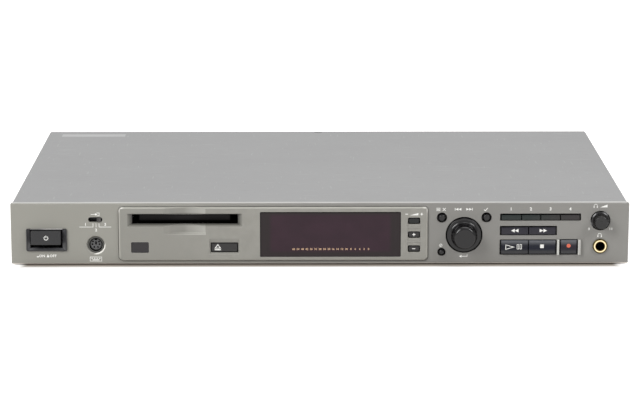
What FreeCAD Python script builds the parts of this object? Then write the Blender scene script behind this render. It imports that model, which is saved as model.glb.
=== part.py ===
import FreeCAD, Part
import math
import os
from collections import namedtuple

import Sketcher

# A slot-loading MiniDisc deck in a low, full-width metal case.
# Row frame: X across the front (the viewer's right is +X), +Y from the front to the back, +Z up.
# The origin is under the middle of the whole deck, on the surface it stands on. Millimetres.

Vector = FreeCAD.Vector
doc = FreeCAD.newDocument("minidisc_deck")

DRIVING_DIMENSIONS = {
    "case": {
        "case_width": 430,
        "case_depth": 268,
        "panel_high": 43,
        "panel_thick": 4.5,
        "panel_wall": 2.5,
        "panel_clear": 1,
        "floor_z": 2,
        "sheet": 1,
        "cover_inset": 0.7,
        "bend_radius": 1.5,
        "flange_high": 30,
        "side_screw_z": 26,
        "side_screw_front_y": -90,
        "side_screw_rear_y": 100,
        "rear_screw_x": 206,
        "rear_screw_z": 38.5,
        "lip_low": 34.5,
        "foot_radius": 9,
        "foot_x": 188,
        "foot_front_y": -108,
        "foot_rear_y": 112,
        "socket_reach": 6.5,
        "screw_head_radius": 3,
        "screw_head_high": 0.6,
        "screw_radius": 1.5,
        "gap": 0.4,
    },
    "fascia": {
        "fascia_left": -140,
        "fascia_right": 75,
        "fascia_low": 3.3,
        "fascia_high": 41.5,
        "fascia_radius": 3,
        "fascia_proud": 1.6,
        "fascia_seat": 2,
        "fascia_edge": 1.3,
        "slot_x": -93.9,
        "slot_wide": 73.8,
        "slot_low": 29.4,
        "slot_high": 36,
        "slot_bevel_side": 3.2,
        "slot_bevel_low": 2,
        "slot_bevel_high": 1,
        "slot_bevel_deep": 2.6,
        "scoop_wide": 29.4,
        "scoop_deep": 2.4,
        "scoop_low": 22.7,
        "scoop_high": 42.6,
        "scoop_slope": 0.25,
        "sensor_left": -131.5,
        "sensor_right": -119.1,
        "sensor_low": 9.1,
        "sensor_high": 16.8,
        "eject_x": -66.5,
        "eject_z": 12.8,
        "eject_hole_wide": 19.3,
        "eject_hole_high": 7.2,
        "eject_dish_wide": 20.8,
        "eject_dish_low": 7.9,
        "eject_dish_high": 19.3,
        "eject_dish_deep": 0.9,
        "display_left": -41.8,
        "display_right": 56.3,
        "display_low": 6,
        "display_high": 38.2,
        "window_sunk": 0.9,
        "speed_x": 65.4,
        "speed_hole_wide": 8.6,
        "speed_hole_high": 4.8,
        "speed_on_z": 31.7,
        "speed_plus_z": 21.8,
        "speed_minus_z": 11.8,
        "channel_margin": 0.35,
        "channel_deep": 0.4,
        "channel_ridge": 0.7,
    },
    "panel": {
        "power_x": -190.4,
        "power_z": 20.4,
        "power_wide": 20.8,
        "power_high": 9.8,
        "power_proud": 4.8,
        "power_rod_end": -102,
        "bezel_left": -204.4,
        "bezel_right": -176.1,
        "bezel_low": 10.3,
        "bezel_high": 26.2,
        "bezel_proud": 1.2,
        "tray_left": -201.7,
        "tray_right": -179.2,
        "tray_low": 12.3,
        "tray_high": 25.8,
        "tray_deep": 1.2,
        "input_x": -156.2,
        "input_z": 32.5,
        "input_wide": 10,
        "input_high": 3.6,
        "lever_x": -153.7,
        "lever_wide": 2.8,
        "lever_high": 3,
        "keyboard_x": -156.1,
        "keyboard_z": 14.5,
        "keyboard_hole": 5.9,
        "keyboard_rim": 0.8,
        "menu_x": 84.8,
        "menu_z": 33.7,
        "yes_x": 115.8,
        "yes_z": 33.8,
        "clear_x": 84.7,
        "clear_z": 9.2,
        "round_hole": 3.6,
        "clear_hole": 2.9,
        "dial_x": 100.3,
        "dial_z": 21.3,
        "dial_hole": 12.9,
        "dial_gap": 0.9,
        "dial_reach": 10.5,
        "key_left": 125.2,
        "function_low": 31.4,
        "function_high": 36.5,
        "function_split_one": 140.2,
        "function_split_two": 153.5,
        "function_split_three": 167.2,
        "function_right": 181.6,
        "wind_low": 21,
        "wind_high": 27.7,
        "key_split": 145.2,
        "key_right": 165,
        "play_low": 7.1,
        "play_high": 18,
        "record_left": 166.75,
        "record_right": 179.7,
        "record_low": 7.1,
        "record_high": 18.2,
        "guard_margin": 0.1,
        "guard_right_wide": 2,
        "guard_proud": 2,
        "level_x": 195.1,
        "level_z": 31.4,
        "level_hole": 7,
        "level_gap": 0.7,
        "phones_x": 195.2,
        "phones_z": 13.3,
        "phones_bore": 3.2,
        "phones_hole": 4.9,
        "phones_ring": 5.15,
        "phones_ring_proud": 1.4,
        "phones_deep": 30,
        "button_gap": 0.7,
        "key_gap": 1,
        "key_split_gap": 0.6,
        "flat_key_low_gap": 0.5,
        "flat_key_top_gap": 1.1,
        "tall_key_low_gap": 0.9,
        "tall_key_top_gap": 0.6,
        "key_flange": 0.7,
        "button_travel": 0.6,
        "button_flange": 1.2,
        "shaft_radius": 3,
        "shaft_gap": 0.05,
        "board_y": -118,
        "board_thick": 1.6,
        "switch_high": 3.5,
    },
    "drive": {
        "spindle_y": -84,
        "drive_half_wide": 46,
        "drive_front_y": -121,
        "drive_rear_y": -20,
        "drive_floor_z": 9,
        "drive_sheet": 1.2,
        "drive_wall_top": 39,
        "cartridge_wide": 72,
        "cartridge_long": 68,
        "cartridge_thick": 5,
        "cartridge_z": 29.6,
        "holder_drop": 4,
        "slider_travel": 10,
        "holder_pin_radius": 1,
        "holder_pin_front_y": -104,
        "holder_pin_rear_y": -58,
        "pin_slot_gap": 0.12,
        "slider_gap": 0.4,
        "sled_front_y": -70,
        "sled_long": 30,
        "sled_half_wide": 17,
        "sled_low": 16,
        "sled_high": 21,
        "rod_x": 12,
        "rod_radius": 1.25,
        "gear_module": 1,
        "gear_teeth": 12,
        "pinion_teeth": 12,
        "rack_reach": 2,
        "rack_tip": 0.65,
        "gear_y": -70,
    },
    "rear": {
        "inlet_x": -184,
        "inlet_z": 22,
        "xlr_first_x": -112,
        "xlr_pitch": 30,
        "xlr_z": 22,
        "phono_first_x": 26,
        "phono_pitch": 16,
        "phono_low": 14,
        "phono_high": 30,
        "optical_x": 116,
        "optical_pitch": 18,
        "optical_z": 22,
    },
}


class Size:
    """A number in millimetres together with its formula in the sheet's names."""

    def __init__(self, value, formula=None):
        self.value = float(value)
        self.formula = formula or "(%.6f)" % self.value

    def __add__(self, other):
        other = as_size(other)
        return Size(self.value + other.value, "(%s + %s)" % (self.formula, other.formula))

    def __sub__(self, other):
        other = as_size(other)
        return Size(self.value - other.value, "(%s - %s)" % (self.formula, other.formula))

    def __mul__(self, other):
        other = as_size(other)
        return Size(self.value * other.value, "(%s * %s)" % (self.formula, other.formula))

    def __truediv__(self, other):
        other = as_size(other)
        return Size(self.value / other.value, "(%s / %s)" % (self.formula, other.formula))

    def __radd__(self, other):
        return as_size(other) + self

    def __rsub__(self, other):
        return as_size(other) - self

    def __rmul__(self, other):
        return as_size(other) * self

    def __neg__(self):
        return Size(-self.value, "(-%s)" % self.formula)


def as_size(number):
    return number if isinstance(number, Size) else Size(number)


class Dimensions:
    """The driving dimensions, read as attributes; each one is a cell of the sheet."""

    def __init__(self, groups):
        table = doc.addObject("Spreadsheet::Sheet", "Dimensions")
        row = 1
        for group, cells in groups.items():
            table.set("A%d" % row, group)
            row += 1
            for name, number in cells.items():
                table.set("A%d" % row, name)
                table.set("B%d" % row, str(number))
                table.setAlias("B%d" % row, name)
                setattr(self, name, Size(number, "Dimensions." + name))
                row += 1
        doc.recompute()


d = Dimensions(DRIVING_DIMENSIONS)

# Places worked out from the driving dimensions.
overall_depth = d.dial_reach + d.case_depth + d.socket_reach
face_y = d.dial_reach - overall_depth / 2
panel_back = face_y + d.panel_thick
case_back = face_y + d.case_depth
panel_low = d.panel_clear
panel_top = d.panel_clear + d.panel_high
cover_half = d.case_width / 2 - d.cover_inset
inner_half = cover_half - d.sheet
fascia_face = face_y - d.fascia_proud
fascia_back = face_y + d.fascia_seat
switch_y = d.board_y - d.switch_high
stem_end = switch_y - d.button_travel - 0.05
input_switch_y = panel_back + 2.2
slot_left = d.slot_x - d.slot_wide / 2
slot_right = d.slot_x + d.slot_wide / 2

PLANES = {"X": "YZ_Plane", "Y": "XZ_Plane", "Z": "XY_Plane"}
subparts = []


def bind(thing, **sizes):
    """Set properties of a document object from sizes; a dot in a name is written as two underscores."""
    for name, size in sizes.items():
        thing.setExpression(name.replace("__", "."), as_size(size).formula)


def keep(thing, name):
    """Name a finished sub-part, which names its file."""
    thing.Label = name
    subparts.append(thing)
    return thing


# ---- Sketches: closed outlines, each point placed from the sheet ----

def place_point(sketch, geometry, end, across, up):
    for kind, size, axis in (("DistanceX", across, -2), ("DistanceY", up, -1)):
        if abs(size.value) < 1e-9:
            sketch.addConstraint(Sketcher.Constraint("PointOnObject", geometry, end, axis))
        else:
            index = sketch.addConstraint(Sketcher.Constraint(kind, -1, 1, geometry, end, size.value))
            sketch.setExpression("Constraints[%d]" % index, size.formula)


def circle(across, up, radius):
    """A round outline."""
    across, up, radius = as_size(across), as_size(up), as_size(radius)

    def draw(sketch):
        centre = Vector(across.value, up.value, 0)
        edge = sketch.addGeometry(Part.Circle(centre, Vector(0, 0, 1), radius.value), False)
        place_point(sketch, edge, 3, across, up)
        index = sketch.addConstraint(Sketcher.Constraint("Radius", edge, radius.value))
        sketch.setExpression("Constraints[%d]" % index, radius.formula)
    return draw


def polygon(points, bow=None):
    """A straight-sided outline through the points given; a bow (side, depth) sinks one upright side."""
    points = [(as_size(across), as_size(up)) for across, up in points]

    def draw(sketch):
        count = len(points)
        places = [Vector(across.value, up.value, 0) for across, up in points]
        lines = []
        for i in range(count):
            segment = Part.LineSegment(places[i], places[(i + 1) % count])
            if bow and i == bow[0]:
                radius = bow_radius(points[i], points[i + 1], bow[1])
                centre = (places[i] + places[i + 1]) / 2 + Vector(bow[1].value - radius.value, 0, 0)
                half_turn = math.asin((places[i + 1].y - places[i].y) / 2 / radius.value)
                round_side = Part.Circle(centre, Vector(0, 0, 1), radius.value)
                segment = Part.ArcOfCircle(round_side, -half_turn, half_turn)
            lines.append(sketch.addGeometry(segment, False))
        for i in range(count):
            joint = Sketcher.Constraint("Coincident", lines[i], 2, lines[(i + 1) % count], 1)
            sketch.addConstraint(joint)
            place_point(sketch, lines[i], 1, *points[i])
        if bow:
            index = sketch.addConstraint(Sketcher.Constraint("Radius", lines[bow[0]], radius.value))
            sketch.setExpression("Constraints[%d]" % index, radius.formula)
    return draw


def bow_radius(start, end, depth):
    """Radius of the arc over a side that sinks by a depth at its middle."""
    chord = end[1] - start[1]
    return (chord * chord / 4 + depth * depth) / (2 * depth)


def rectangle(left, right, low, high, radius=None):
    """A rectangle, with rounded corners where a radius is given."""
    left, right, low, high = as_size(left), as_size(right), as_size(low), as_size(high)
    if radius is None:
        return polygon([(left, low), (right, low), (right, high), (left, high)])
    radius = as_size(radius)

    def draw(sketch):
        r = radius.value
        x0, x1, z0, z1 = left.value, right.value, low.value, high.value
        corners = ((x1 - r, z0 + r, -90), (x1 - r, z1 - r, 0), (x0 + r, z1 - r, 90), (x0 + r, z0 + r, 180))
        sides = ((x0 + r, z0, x1 - r, z0), (x1, z0 + r, x1, z1 - r), (x1 - r, z1, x0 + r, z1),
                 (x0, z1 - r, x0, z0 + r))
        chain = []
        for (ax, az, bx, bz), (cx, cz, start) in zip(sides, corners):
            chain.append(sketch.addGeometry(Part.LineSegment(Vector(ax, az, 0), Vector(bx, bz, 0)), False))
            round_edge = Part.Circle(Vector(cx, cz, 0), Vector(0, 0, 1), r)
            arc = Part.ArcOfCircle(round_edge, math.radians(start), math.radians(start + 90))
            chain.append(sketch.addGeometry(arc, False))
        for i in range(8):
            sketch.addConstraint(Sketcher.Constraint("Tangent", chain[i], 2, chain[(i + 1) % 8], 1))
        for i in (0, 4):
            sketch.addConstraint(Sketcher.Constraint("Horizontal", chain[i]))
        for i in (2, 6):
            sketch.addConstraint(Sketcher.Constraint("Vertical", chain[i]))
        for i in (3, 5, 7):
            sketch.addConstraint(Sketcher.Constraint("Equal", chain[1], chain[i]))
        index = sketch.addConstraint(Sketcher.Constraint("Radius", chain[1], r))
        sketch.setExpression("Constraints[%d]" % index, radius.formula)
        for kind, line, size in (("DistanceY", 0, low), ("DistanceX", 2, right), ("DistanceY", 4, high),
                                 ("DistanceX", 6, left)):
            index = sketch.addConstraint(Sketcher.Constraint(kind, -1, 1, chain[line], 1, size.value))
            sketch.setExpression("Constraints[%d]" % index, size.formula)
    return draw


def box_outline(across, up, wide, high, radius=None):
    """A rectangle about its middle."""
    wide, high = as_size(wide), as_size(high)
    return rectangle(across - wide / 2, across + wide / 2, up - high / 2, up + high / 2, radius)


# ---- Features of a body ----

def new_body(name):
    return keep(doc.addObject("PartDesign::Body", name), name)


def sketch_on(body, axis, place, outlines, across=0, up=0):
    """A sketch square to an axis of the row at a place along it: X sees (Y, Z), Y sees (X, Z), Z (X, Y)."""
    sketch = body.newObject("Sketcher::SketchObject", body.Name + "_sketch")
    plane = [part for part in body.Origin.OriginFeatures if part.Role == PLANES[axis]][0]
    sketch.AttachmentSupport = [(plane, "")]
    sketch.MapMode = "FlatFace"
    normal_offset = -as_size(place) if axis == "Y" else as_size(place)
    bind(sketch, AttachmentOffset__Base__x=across, AttachmentOffset__Base__y=up)
    bind(sketch, AttachmentOffset__Base__z=normal_offset)
    for outline in outlines:
        outline(sketch)
    return sketch


def pad(body, axis, start, end, *outlines):
    """Add material between two places along an axis."""
    feature = body.newObject("PartDesign::Pad", body.Name + "_pad")
    feature.Profile = sketch_on(body, axis, start, outlines)
    feature.Reversed = axis == "Y"
    bind(feature, Length=end - start)
    return feature


def cut(body, axis, start, end, *outlines):
    """Remove material between two places along an axis."""
    feature = body.newObject("PartDesign::Pocket", body.Name + "_cut")
    feature.Profile = sketch_on(body, axis, start, outlines)
    feature.Reversed = axis != "Y"
    bind(feature, Length=end - start)
    return feature


def turned(body, axis, centre, points, groove=False):
    """A turned form about an axis; the profile's points are (place along the axis, radius)."""
    kind = "PartDesign::Groove" if groove else "PartDesign::Revolution"
    feature = body.newObject(kind, body.Name + "_turned")
    first, second = as_size(centre[0]), as_size(centre[1])
    if axis == "Y":
        sketch = sketch_on(body, "X", first, [polygon(points)], up=second)
    elif axis == "X":
        sketch = sketch_on(body, "Y", first, [polygon(points)], up=second)
    else:
        outline = polygon([(radius, along) for along, radius in points])
        sketch = sketch_on(body, "Y", second, [outline], across=first)
    feature.Profile = sketch
    feature.ReferenceAxis = (sketch, ["V_Axis" if axis == "Z" else "H_Axis"])
    feature.Angle = 360
    return feature


def dress(body, kind, size, wanted):
    """Fillet or chamfer the edges of the body so far that the test picks."""
    doc.recompute()
    base = body.Tip
    names = ["Edge%d" % (i + 1) for i, edge in enumerate(base.Shape.Edges) if wanted(edge)]
    if not names:
        raise RuntimeError("no edge to dress on " + body.Label)
    feature = body.newObject("PartDesign::" + kind, body.Name + "_" + kind.lower())
    feature.Base = (base, names)
    bind(feature, **{"Radius" if kind == "Fillet" else "Size": size})
    return feature


def on_plane(axis, place):
    """A test for edges that lie wholly at a place along an axis."""
    place = as_size(place).value

    def test(edge):
        box = edge.BoundBox
        low, high = {"X": (box.XMin, box.XMax), "Y": (box.YMin, box.YMax), "Z": (box.ZMin, box.ZMax)}[axis]
        return abs(low - place) < 1e-4 and abs(high - place) < 1e-4
    return test


def both(*tests):
    return lambda edge: all(test(edge) for test in tests)


def longer_than(length):
    return lambda edge: edge.Length > length


def within(left, right, low, high):
    """A test for edges inside a window of the front view."""
    def test(edge):
        box = edge.BoundBox
        across = box.XMin > left - 0.01 and box.XMax < right + 0.01
        return across and box.ZMin > low - 0.01 and box.ZMax < high + 0.01
    return test


def pattern_line(body, feature, direction, length, count):
    """Repeat a feature along a direction of the body."""
    pattern = body.newObject("PartDesign::LinearPattern", body.Name + "_row")
    pattern.Originals = [feature]
    axis = [part for part in body.Origin.OriginFeatures if part.Role == direction + "_Axis"][0]
    pattern.Direction = (axis, [""])
    bind(pattern, Length=length)
    pattern.Occurrences = count
    body.Tip = pattern
    return pattern


# ---- Case ----

def make_base_pan():
    """Folded steel floor with side and front flanges and a row of vents."""
    body = new_body("base_pan")
    front, back = panel_back, case_back - d.sheet
    top = d.floor_z + d.sheet
    pad(body, "Z", d.floor_z, top, rectangle(-inner_half, inner_half, front, back))
    for side in (-1, 1):
        outer, inner = side * inner_half, side * (inner_half - d.sheet)
        ends = (outer, inner) if side < 0 else (inner, outer)
        pad(body, "X", ends[0], ends[1], rectangle(front, back, d.floor_z, top + d.flange_high))
    pad(body, "Y", front, front + d.sheet, rectangle(-inner_half, inner_half, d.floor_z, top + 2))
    vent = cut(body, "Z", d.floor_z, top, rectangle(60, 63, 20, 60))
    pattern_line(body, vent, "X", 99, 12)
    cut(body, "X", -inner_half, inner_half, *side_screw_holes(d.screw_radius))


def side_screw_holes(radius):
    """The two screw places on each side of the case, in side view."""
    return [circle(y, d.side_screw_z, radius) for y in (d.side_screw_front_y, d.side_screw_rear_y)]


def rear_screw_holes(radius):
    """The three screw places along the top of the back, in rear view."""
    return [circle(x, d.rear_screw_z, radius) for x in (-d.rear_screw_x, as_size(2), d.rear_screw_x)]


def make_rear_panel():
    """Steel rear wall with cut-outs for the sockets."""
    body = new_body("rear_panel")
    front = case_back - d.sheet
    low, high = d.floor_z + d.sheet, panel_top - d.sheet
    pad(body, "Y", front, case_back, rectangle(-inner_half, inner_half, low, high))
    holes = [box_outline(d.inlet_x, d.inlet_z, 27.4, 20, 2)]
    for i in range(4):
        holes.append(circle(d.xlr_first_x + d.xlr_pitch * i, d.xlr_z, 12))
    for column in range(3):
        for z in (d.phono_low, d.phono_high):
            holes.append(circle(d.phono_first_x + d.phono_pitch * column, z, 4.6))
    for i in range(2):
        holes.append(box_outline(d.optical_x + d.optical_pitch * i, d.optical_z, 10.4, 10.4, 0.8))
    holes += rear_screw_holes(d.screw_radius + 0.2)
    cut(body, "Y", front, case_back, *holes)
    louvre = cut(body, "Y", front, case_back, rectangle(160, 162.4, 12, 34))
    pattern_line(body, louvre, "X", 36, 10)


def make_top_cover():
    """Folded steel lid: a flat top, two sides, and a lip inside the back that its rear screws hold."""
    body = new_body("top_cover")
    low = d.floor_z + d.sheet
    section = rectangle(-cover_half, cover_half, low - 10, panel_top, d.bend_radius)
    pad(body, "Y", panel_back, case_back, section)
    cut(body, "Y", panel_back, case_back, rectangle(-inner_half, inner_half, low - 11, panel_top - d.sheet))
    cut(body, "Z", low - 12, low, rectangle(-cover_half - 1, cover_half + 1, panel_back - 1, case_back + 1))
    lip_front, lip_back = case_back - 2 * d.sheet, case_back - d.sheet
    lip_half = inner_half - 3
    pad(body, "Y", lip_front, lip_back, rectangle(-lip_half, lip_half, d.lip_low, panel_top - d.sheet))
    cut(body, "Y", lip_front, lip_back, *rear_screw_holes(d.screw_radius))
    cut(body, "X", -cover_half, cover_half, *side_screw_holes(d.screw_radius + 0.2))
    cut(body, "Z", panel_top - d.sheet, panel_top, rectangle(-3, 3, case_back - 5, case_back - 2.4, 0.8))


def make_cover_screws():
    """Low screws that hold the lid: two on each side and three along the back."""
    body = new_body("cover_screws")
    for side in (-1, 1):
        inner, outer = side * (inner_half - 4), side * (cover_half + d.screw_head_high)
        seat = side * cover_half
        for y in (d.side_screw_front_y, d.side_screw_rear_y):
            profile = [(inner, 0), (outer, 0), (outer, d.screw_head_radius), (seat, d.screw_head_radius),
                       (seat, d.screw_radius), (inner, d.screw_radius)]
            turned(body, "X", (y, d.side_screw_z), profile)
    for x in (-d.rear_screw_x, 2, d.rear_screw_x):
        seat, outer, inner = case_back, case_back + 1.2, case_back - 4
        profile = [(inner, 0), (outer, 0), (outer, d.screw_head_radius), (seat, d.screw_head_radius),
                   (seat, d.screw_radius), (inner, d.screw_radius)]
        turned(body, "Y", (x, d.rear_screw_z), profile)


def make_feet():
    """Four low round pads."""
    body = new_body("feet")
    pads = []
    for x in (-d.foot_x, d.foot_x):
        for y in (d.foot_front_y, d.foot_rear_y):
            pads.append(circle(x, y, d.foot_radius))
    pad(body, "Z", 0, d.floor_z, *pads)
    dress(body, "Chamfer", 0.5, on_plane("Z", 0))


# ---- Front panel and the raised centre fascia ----

def recess(body, outer, front, inner, back):
    """A recess with sloping sides: one outline at its mouth, another at its floor."""
    loft = body.newObject("PartDesign::SubtractiveLoft", body.Name + "_recess")
    loft.Profile = sketch_on(body, "Y", front, [outer])
    loft.Sections = [sketch_on(body, "Y", back, [inner])]


def fascia_holes(radius=None):
    """Holes of the eject button and the speed buttons, which pass through the fascia and the plate."""
    holes = [box_outline(d.eject_x, d.eject_z, d.eject_hole_wide, d.eject_hole_high, radius)]
    for z in (d.speed_on_z, d.speed_plus_z, d.speed_minus_z):
        holes.append(box_outline(d.speed_x, z, d.speed_hole_wide, d.speed_hole_high, radius))
    return holes


def make_front_panel():
    """Front plate with a rim, seats for the fascia and the bezel, and a hole for every control."""
    body = new_body("front_panel")
    half = d.case_width / 2
    pad(body, "Y", face_y, panel_back, rectangle(-half, half, panel_low, panel_top, 0.8))
    dress(body, "Chamfer", 0.4, on_plane("Y", face_y))
    shell = face_y + d.panel_wall
    left_edge, right_edge = d.fascia_left - 2, d.fascia_right + 2
    low, high = panel_low + d.panel_wall, panel_top - d.panel_wall
    cut(body, "Y", shell, panel_back,
        rectangle(d.panel_wall - half, left_edge, low, high, 1),
        rectangle(right_edge, half - d.panel_wall, low, high, 1))
    seat = rectangle(d.fascia_left - d.gap, d.fascia_right + d.gap, d.fascia_low - d.gap,
                     d.fascia_high + d.gap, d.fascia_radius + d.gap)
    cut(body, "Y", face_y, fascia_back, seat)
    cut(body, "Y", fascia_back, panel_back,
        rectangle(slot_left - 0.5, slot_right + 0.5, d.slot_low - 0.5, d.slot_high + 0.5),
        rectangle(d.display_left + 2, d.display_right - 2, d.display_low + 2, d.display_high - 2),
        rectangle(d.sensor_left + 1, d.sensor_right - 1, d.sensor_low + 1, d.sensor_high - 1),
        *fascia_holes())
    cut(body, "Y", face_y, panel_back,
        rectangle(d.bezel_left + 1, d.bezel_right - 1, d.bezel_low + 1, d.bezel_high - 0.2, 0.8),
        box_outline(d.input_x, d.input_z, d.input_wide, d.input_high, d.input_high / 2 - 0.01),
        circle(d.keyboard_x, d.keyboard_z, d.keyboard_hole),
        circle(d.menu_x, d.menu_z, d.round_hole),
        circle(d.yes_x, d.yes_z, d.round_hole),
        circle(d.clear_x, d.clear_z, d.clear_hole),
        circle(d.dial_x, d.dial_z, d.dial_hole),
        circle(d.level_x, d.level_z, d.level_hole),
        circle(d.phones_x, d.phones_z, d.phones_hole),
        *[rectangle(row.edges[0], row.edges[-1], row.low, row.high, 0.5) for row in key_rows()])
    front = face_y - d.guard_proud
    right_guard = d.record_right + d.guard_margin
    pad(body, "Y", front, face_y + 1,
        rectangle(d.key_right + d.guard_margin, d.record_left - d.guard_margin, d.play_low, d.play_high),
        rectangle(right_guard, right_guard + d.guard_right_wide, d.play_low, d.play_high))
    x, z = d.keyboard_x.value, d.keyboard_z.value
    rim = within(x - 6, x + 6, z - 6, z + 6)
    dress(body, "Chamfer", d.keyboard_rim, both(on_plane("Y", face_y), rim))
    dress(body, "Fillet", 0.5, on_plane("Y", front))


def make_centre_fascia():
    """Raised moulding round the disc slot and the display, with a thumb scoop across the slot."""
    body = doc.addObject("PartDesign::Body", "fascia_blank")
    outline = rectangle(d.fascia_left, d.fascia_right, d.fascia_low, d.fascia_high, d.fascia_radius)
    pad(body, "Y", fascia_face, fascia_back, outline)
    dress(body, "Fillet", d.fascia_edge, on_plane("Y", fascia_face))
    slot_mouth = rectangle(slot_left - d.slot_bevel_side, slot_right + d.slot_bevel_side,
                           d.slot_low - d.slot_bevel_low, d.slot_high + d.slot_bevel_high)
    slot_throat = rectangle(slot_left, slot_right, d.slot_low, d.slot_high)
    recess(body, slot_mouth, fascia_face, slot_throat, fascia_face + d.slot_bevel_deep)
    half_wide = d.eject_dish_wide / 2
    dish_mouth = rectangle(d.eject_x - half_wide, d.eject_x + half_wide,
                           d.eject_dish_low, d.eject_dish_high)
    dish_floor = box_outline(d.eject_x, d.eject_z, d.eject_hole_wide + 0.6, d.eject_hole_high + 0.6)
    recess(body, dish_mouth, fascia_face, dish_floor, fascia_face + d.eject_dish_deep)
    cut(body, "Y", fascia_face, fascia_back,
        rectangle(slot_left, slot_right, d.slot_low, d.slot_high),
        rectangle(d.display_left, d.display_right, d.display_low, d.display_high, 0.8),
        rectangle(d.sensor_left, d.sensor_right, d.sensor_low, d.sensor_high, 0.8),
        *fascia_holes(0.9))
    half_wide = d.speed_hole_wide / 2 + d.channel_margin
    for low, high in ((d.speed_minus_z, d.speed_plus_z), (d.speed_plus_z, d.speed_on_z)):
        ridge = (low + high) / 2
        cut(body, "Y", fascia_face, fascia_face + d.channel_deep,
            rectangle(d.speed_x - half_wide, d.speed_x + half_wide, low, ridge - d.channel_ridge / 2),
            rectangle(d.speed_x - half_wide, d.speed_x + half_wide, ridge + d.channel_ridge / 2, high))
    scoop_radius = (d.scoop_wide * d.scoop_wide / 4 + d.scoop_deep * d.scoop_deep) / (2 * d.scoop_deep)
    barrel = doc.addObject("Part::Cylinder", "scoop_barrel")
    bind(barrel, Radius=scoop_radius, Height=d.scoop_high - d.scoop_low + 2)
    bind(barrel, Placement__Base__x=d.slot_x, Placement__Base__z=d.scoop_low - 1)
    bind(barrel, Placement__Base__y=fascia_face + d.scoop_deep - scoop_radius)
    wedge = doc.addObject("PartDesign::Body", "scoop_ends")
    deep, out = d.scoop_deep + 0.5, 4
    pad(wedge, "X", d.slot_x - d.scoop_wide, d.slot_x + d.scoop_wide, polygon([
        (fascia_face - out, d.scoop_low - out * d.scoop_slope),
        (fascia_face + deep, d.scoop_low + deep * d.scoop_slope),
        (fascia_face + deep, d.scoop_high - deep * 0.5), (fascia_face - out, d.scoop_high + out * 0.5)]))
    tool = doc.addObject("Part::Common", "scoop_tool")
    tool.Base, tool.Tool = barrel, wedge
    fascia = doc.addObject("Part::Cut", "centre_fascia")
    fascia.Base, fascia.Tool = body, tool
    keep(fascia, "centre_fascia")


def make_slot_flap():
    """Dark flap that closes the disc slot from behind and swings inwards about its top edge."""
    body = new_body("slot_flap")
    left, right = slot_left + 0.4, slot_right - 0.4
    axis_y, axis_z, half = face_y + 2.9, d.slot_high - 0.3, 0.4
    pad(body, "X", left, right, rectangle(
        axis_y - half, axis_y + half, d.slot_low - 0.2, axis_z + half, 0.38))
    cut(body, "Y", axis_y - half, axis_y, rectangle(left + 4, right - 4, d.slot_low + 1.6, d.slot_low + 2.2))


def make_windows():
    """Smoked display window and the small remote sensor window, both seated in the fascia."""
    body = new_body("display_window")
    front = fascia_face + d.window_sunk
    pad(body, "Y", front, fascia_back, rectangle(
        d.display_left, d.display_right, d.display_low, d.display_high, 0.8))
    body = new_body("sensor_window")
    pad(body, "Y", front, fascia_back, rectangle(
        d.sensor_left, d.sensor_right, d.sensor_low, d.sensor_high, 0.8))


# ---- Controls ----

def make_power_controls():
    """Dished bezel, square push button with its long rod, and the latching switch it works."""
    body = new_body("power_bezel")
    rim_face = face_y - d.bezel_proud
    pad(body, "Y", rim_face, face_y, rectangle(d.bezel_left, d.bezel_right, d.bezel_low, d.bezel_high, 1))
    pad(body, "Y", face_y, panel_back, rectangle(
        d.bezel_left + 1.2, d.bezel_right - 1.2, d.bezel_low + 1.2, d.bezel_high - 0.25, 0.8))
    dress(body, "Fillet", 0.3, on_plane("Y", rim_face))
    tray_mouth = rectangle(d.bezel_left + 0.7, d.bezel_right - 0.7,
                           d.bezel_low + 0.7, d.bezel_high - 0.4)
    tray_floor = rectangle(d.tray_left, d.tray_right, d.tray_low, d.tray_high)
    recess(body, tray_mouth, rim_face, tray_floor, rim_face + d.tray_deep)
    cut(body, "Y", rim_face, panel_back, tray_floor)
    front = face_y - d.power_proud
    body = new_body("power_button")
    cap = box_outline(d.power_x, d.power_z, d.power_wide, d.power_high, 0.6)
    pad(body, "Y", front, panel_back + 1.5, cap)
    dress(body, "Fillet", 0.4, on_plane("Y", front))
    rod_end = d.power_rod_end
    pad(body, "Y", panel_back + 1, rod_end, box_outline(d.power_x, d.power_z, 4, 4))
    body = new_body("power_switch")
    pad(body, "Y", rod_end - 2, -84, box_outline(d.power_x, d.power_z, 14, 14, 1))
    cut(body, "Y", rod_end - 2, -90, box_outline(d.power_x, d.power_z, 4.8, 4.8))
    pad(body, "Z", d.floor_z + d.sheet, d.power_z - 7, rectangle(
        d.power_x - 6, d.power_x + 6, rod_end + 2, -86))


def make_input_lever():
    """Small lever that slides sideways in a round-ended slot."""
    body = new_body("input_lever")
    pad(body, "Y", face_y - 0.6, input_switch_y - 0.2, box_outline(
        d.lever_x, d.input_z, d.lever_wide, d.lever_high, 0.4))


def make_keyboard_socket():
    """Six-pin round socket in a metal shell, recessed in the panel."""
    body = new_body("keyboard_socket")
    front, back = face_y + 1.2, -110
    x, z = d.keyboard_x, d.keyboard_z
    pad(body, "Y", front, back, circle(x, z, d.keyboard_hole - 0.2))
    pad(body, "Y", panel_back + 2, back, box_outline(x, z, 14, 13))
    shell, insert = 4.75, 3.95
    cut(body, "Y", front, front + 7, circle(x, z, shell))
    pad(body, "Y", front + 1, front + 8, circle(x, z, insert))
    pins = []
    for row, half_gap in ((-2.0, 1.3), (0.1, 2.45), (1.9, 2.1)):
        for side in (-1, 1):
            pins.append(circle(x + side * half_gap, z + row, 0.6))
    pins.append(rectangle(x - 0.6, x + 0.6, z - 0.2, z + 2))
    pins.append(rectangle(x - 0.9, x + 0.9, z + 2.9, z + insert + 0.2))
    cut(body, "Y", front + 1, front + 6, *pins)


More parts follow.
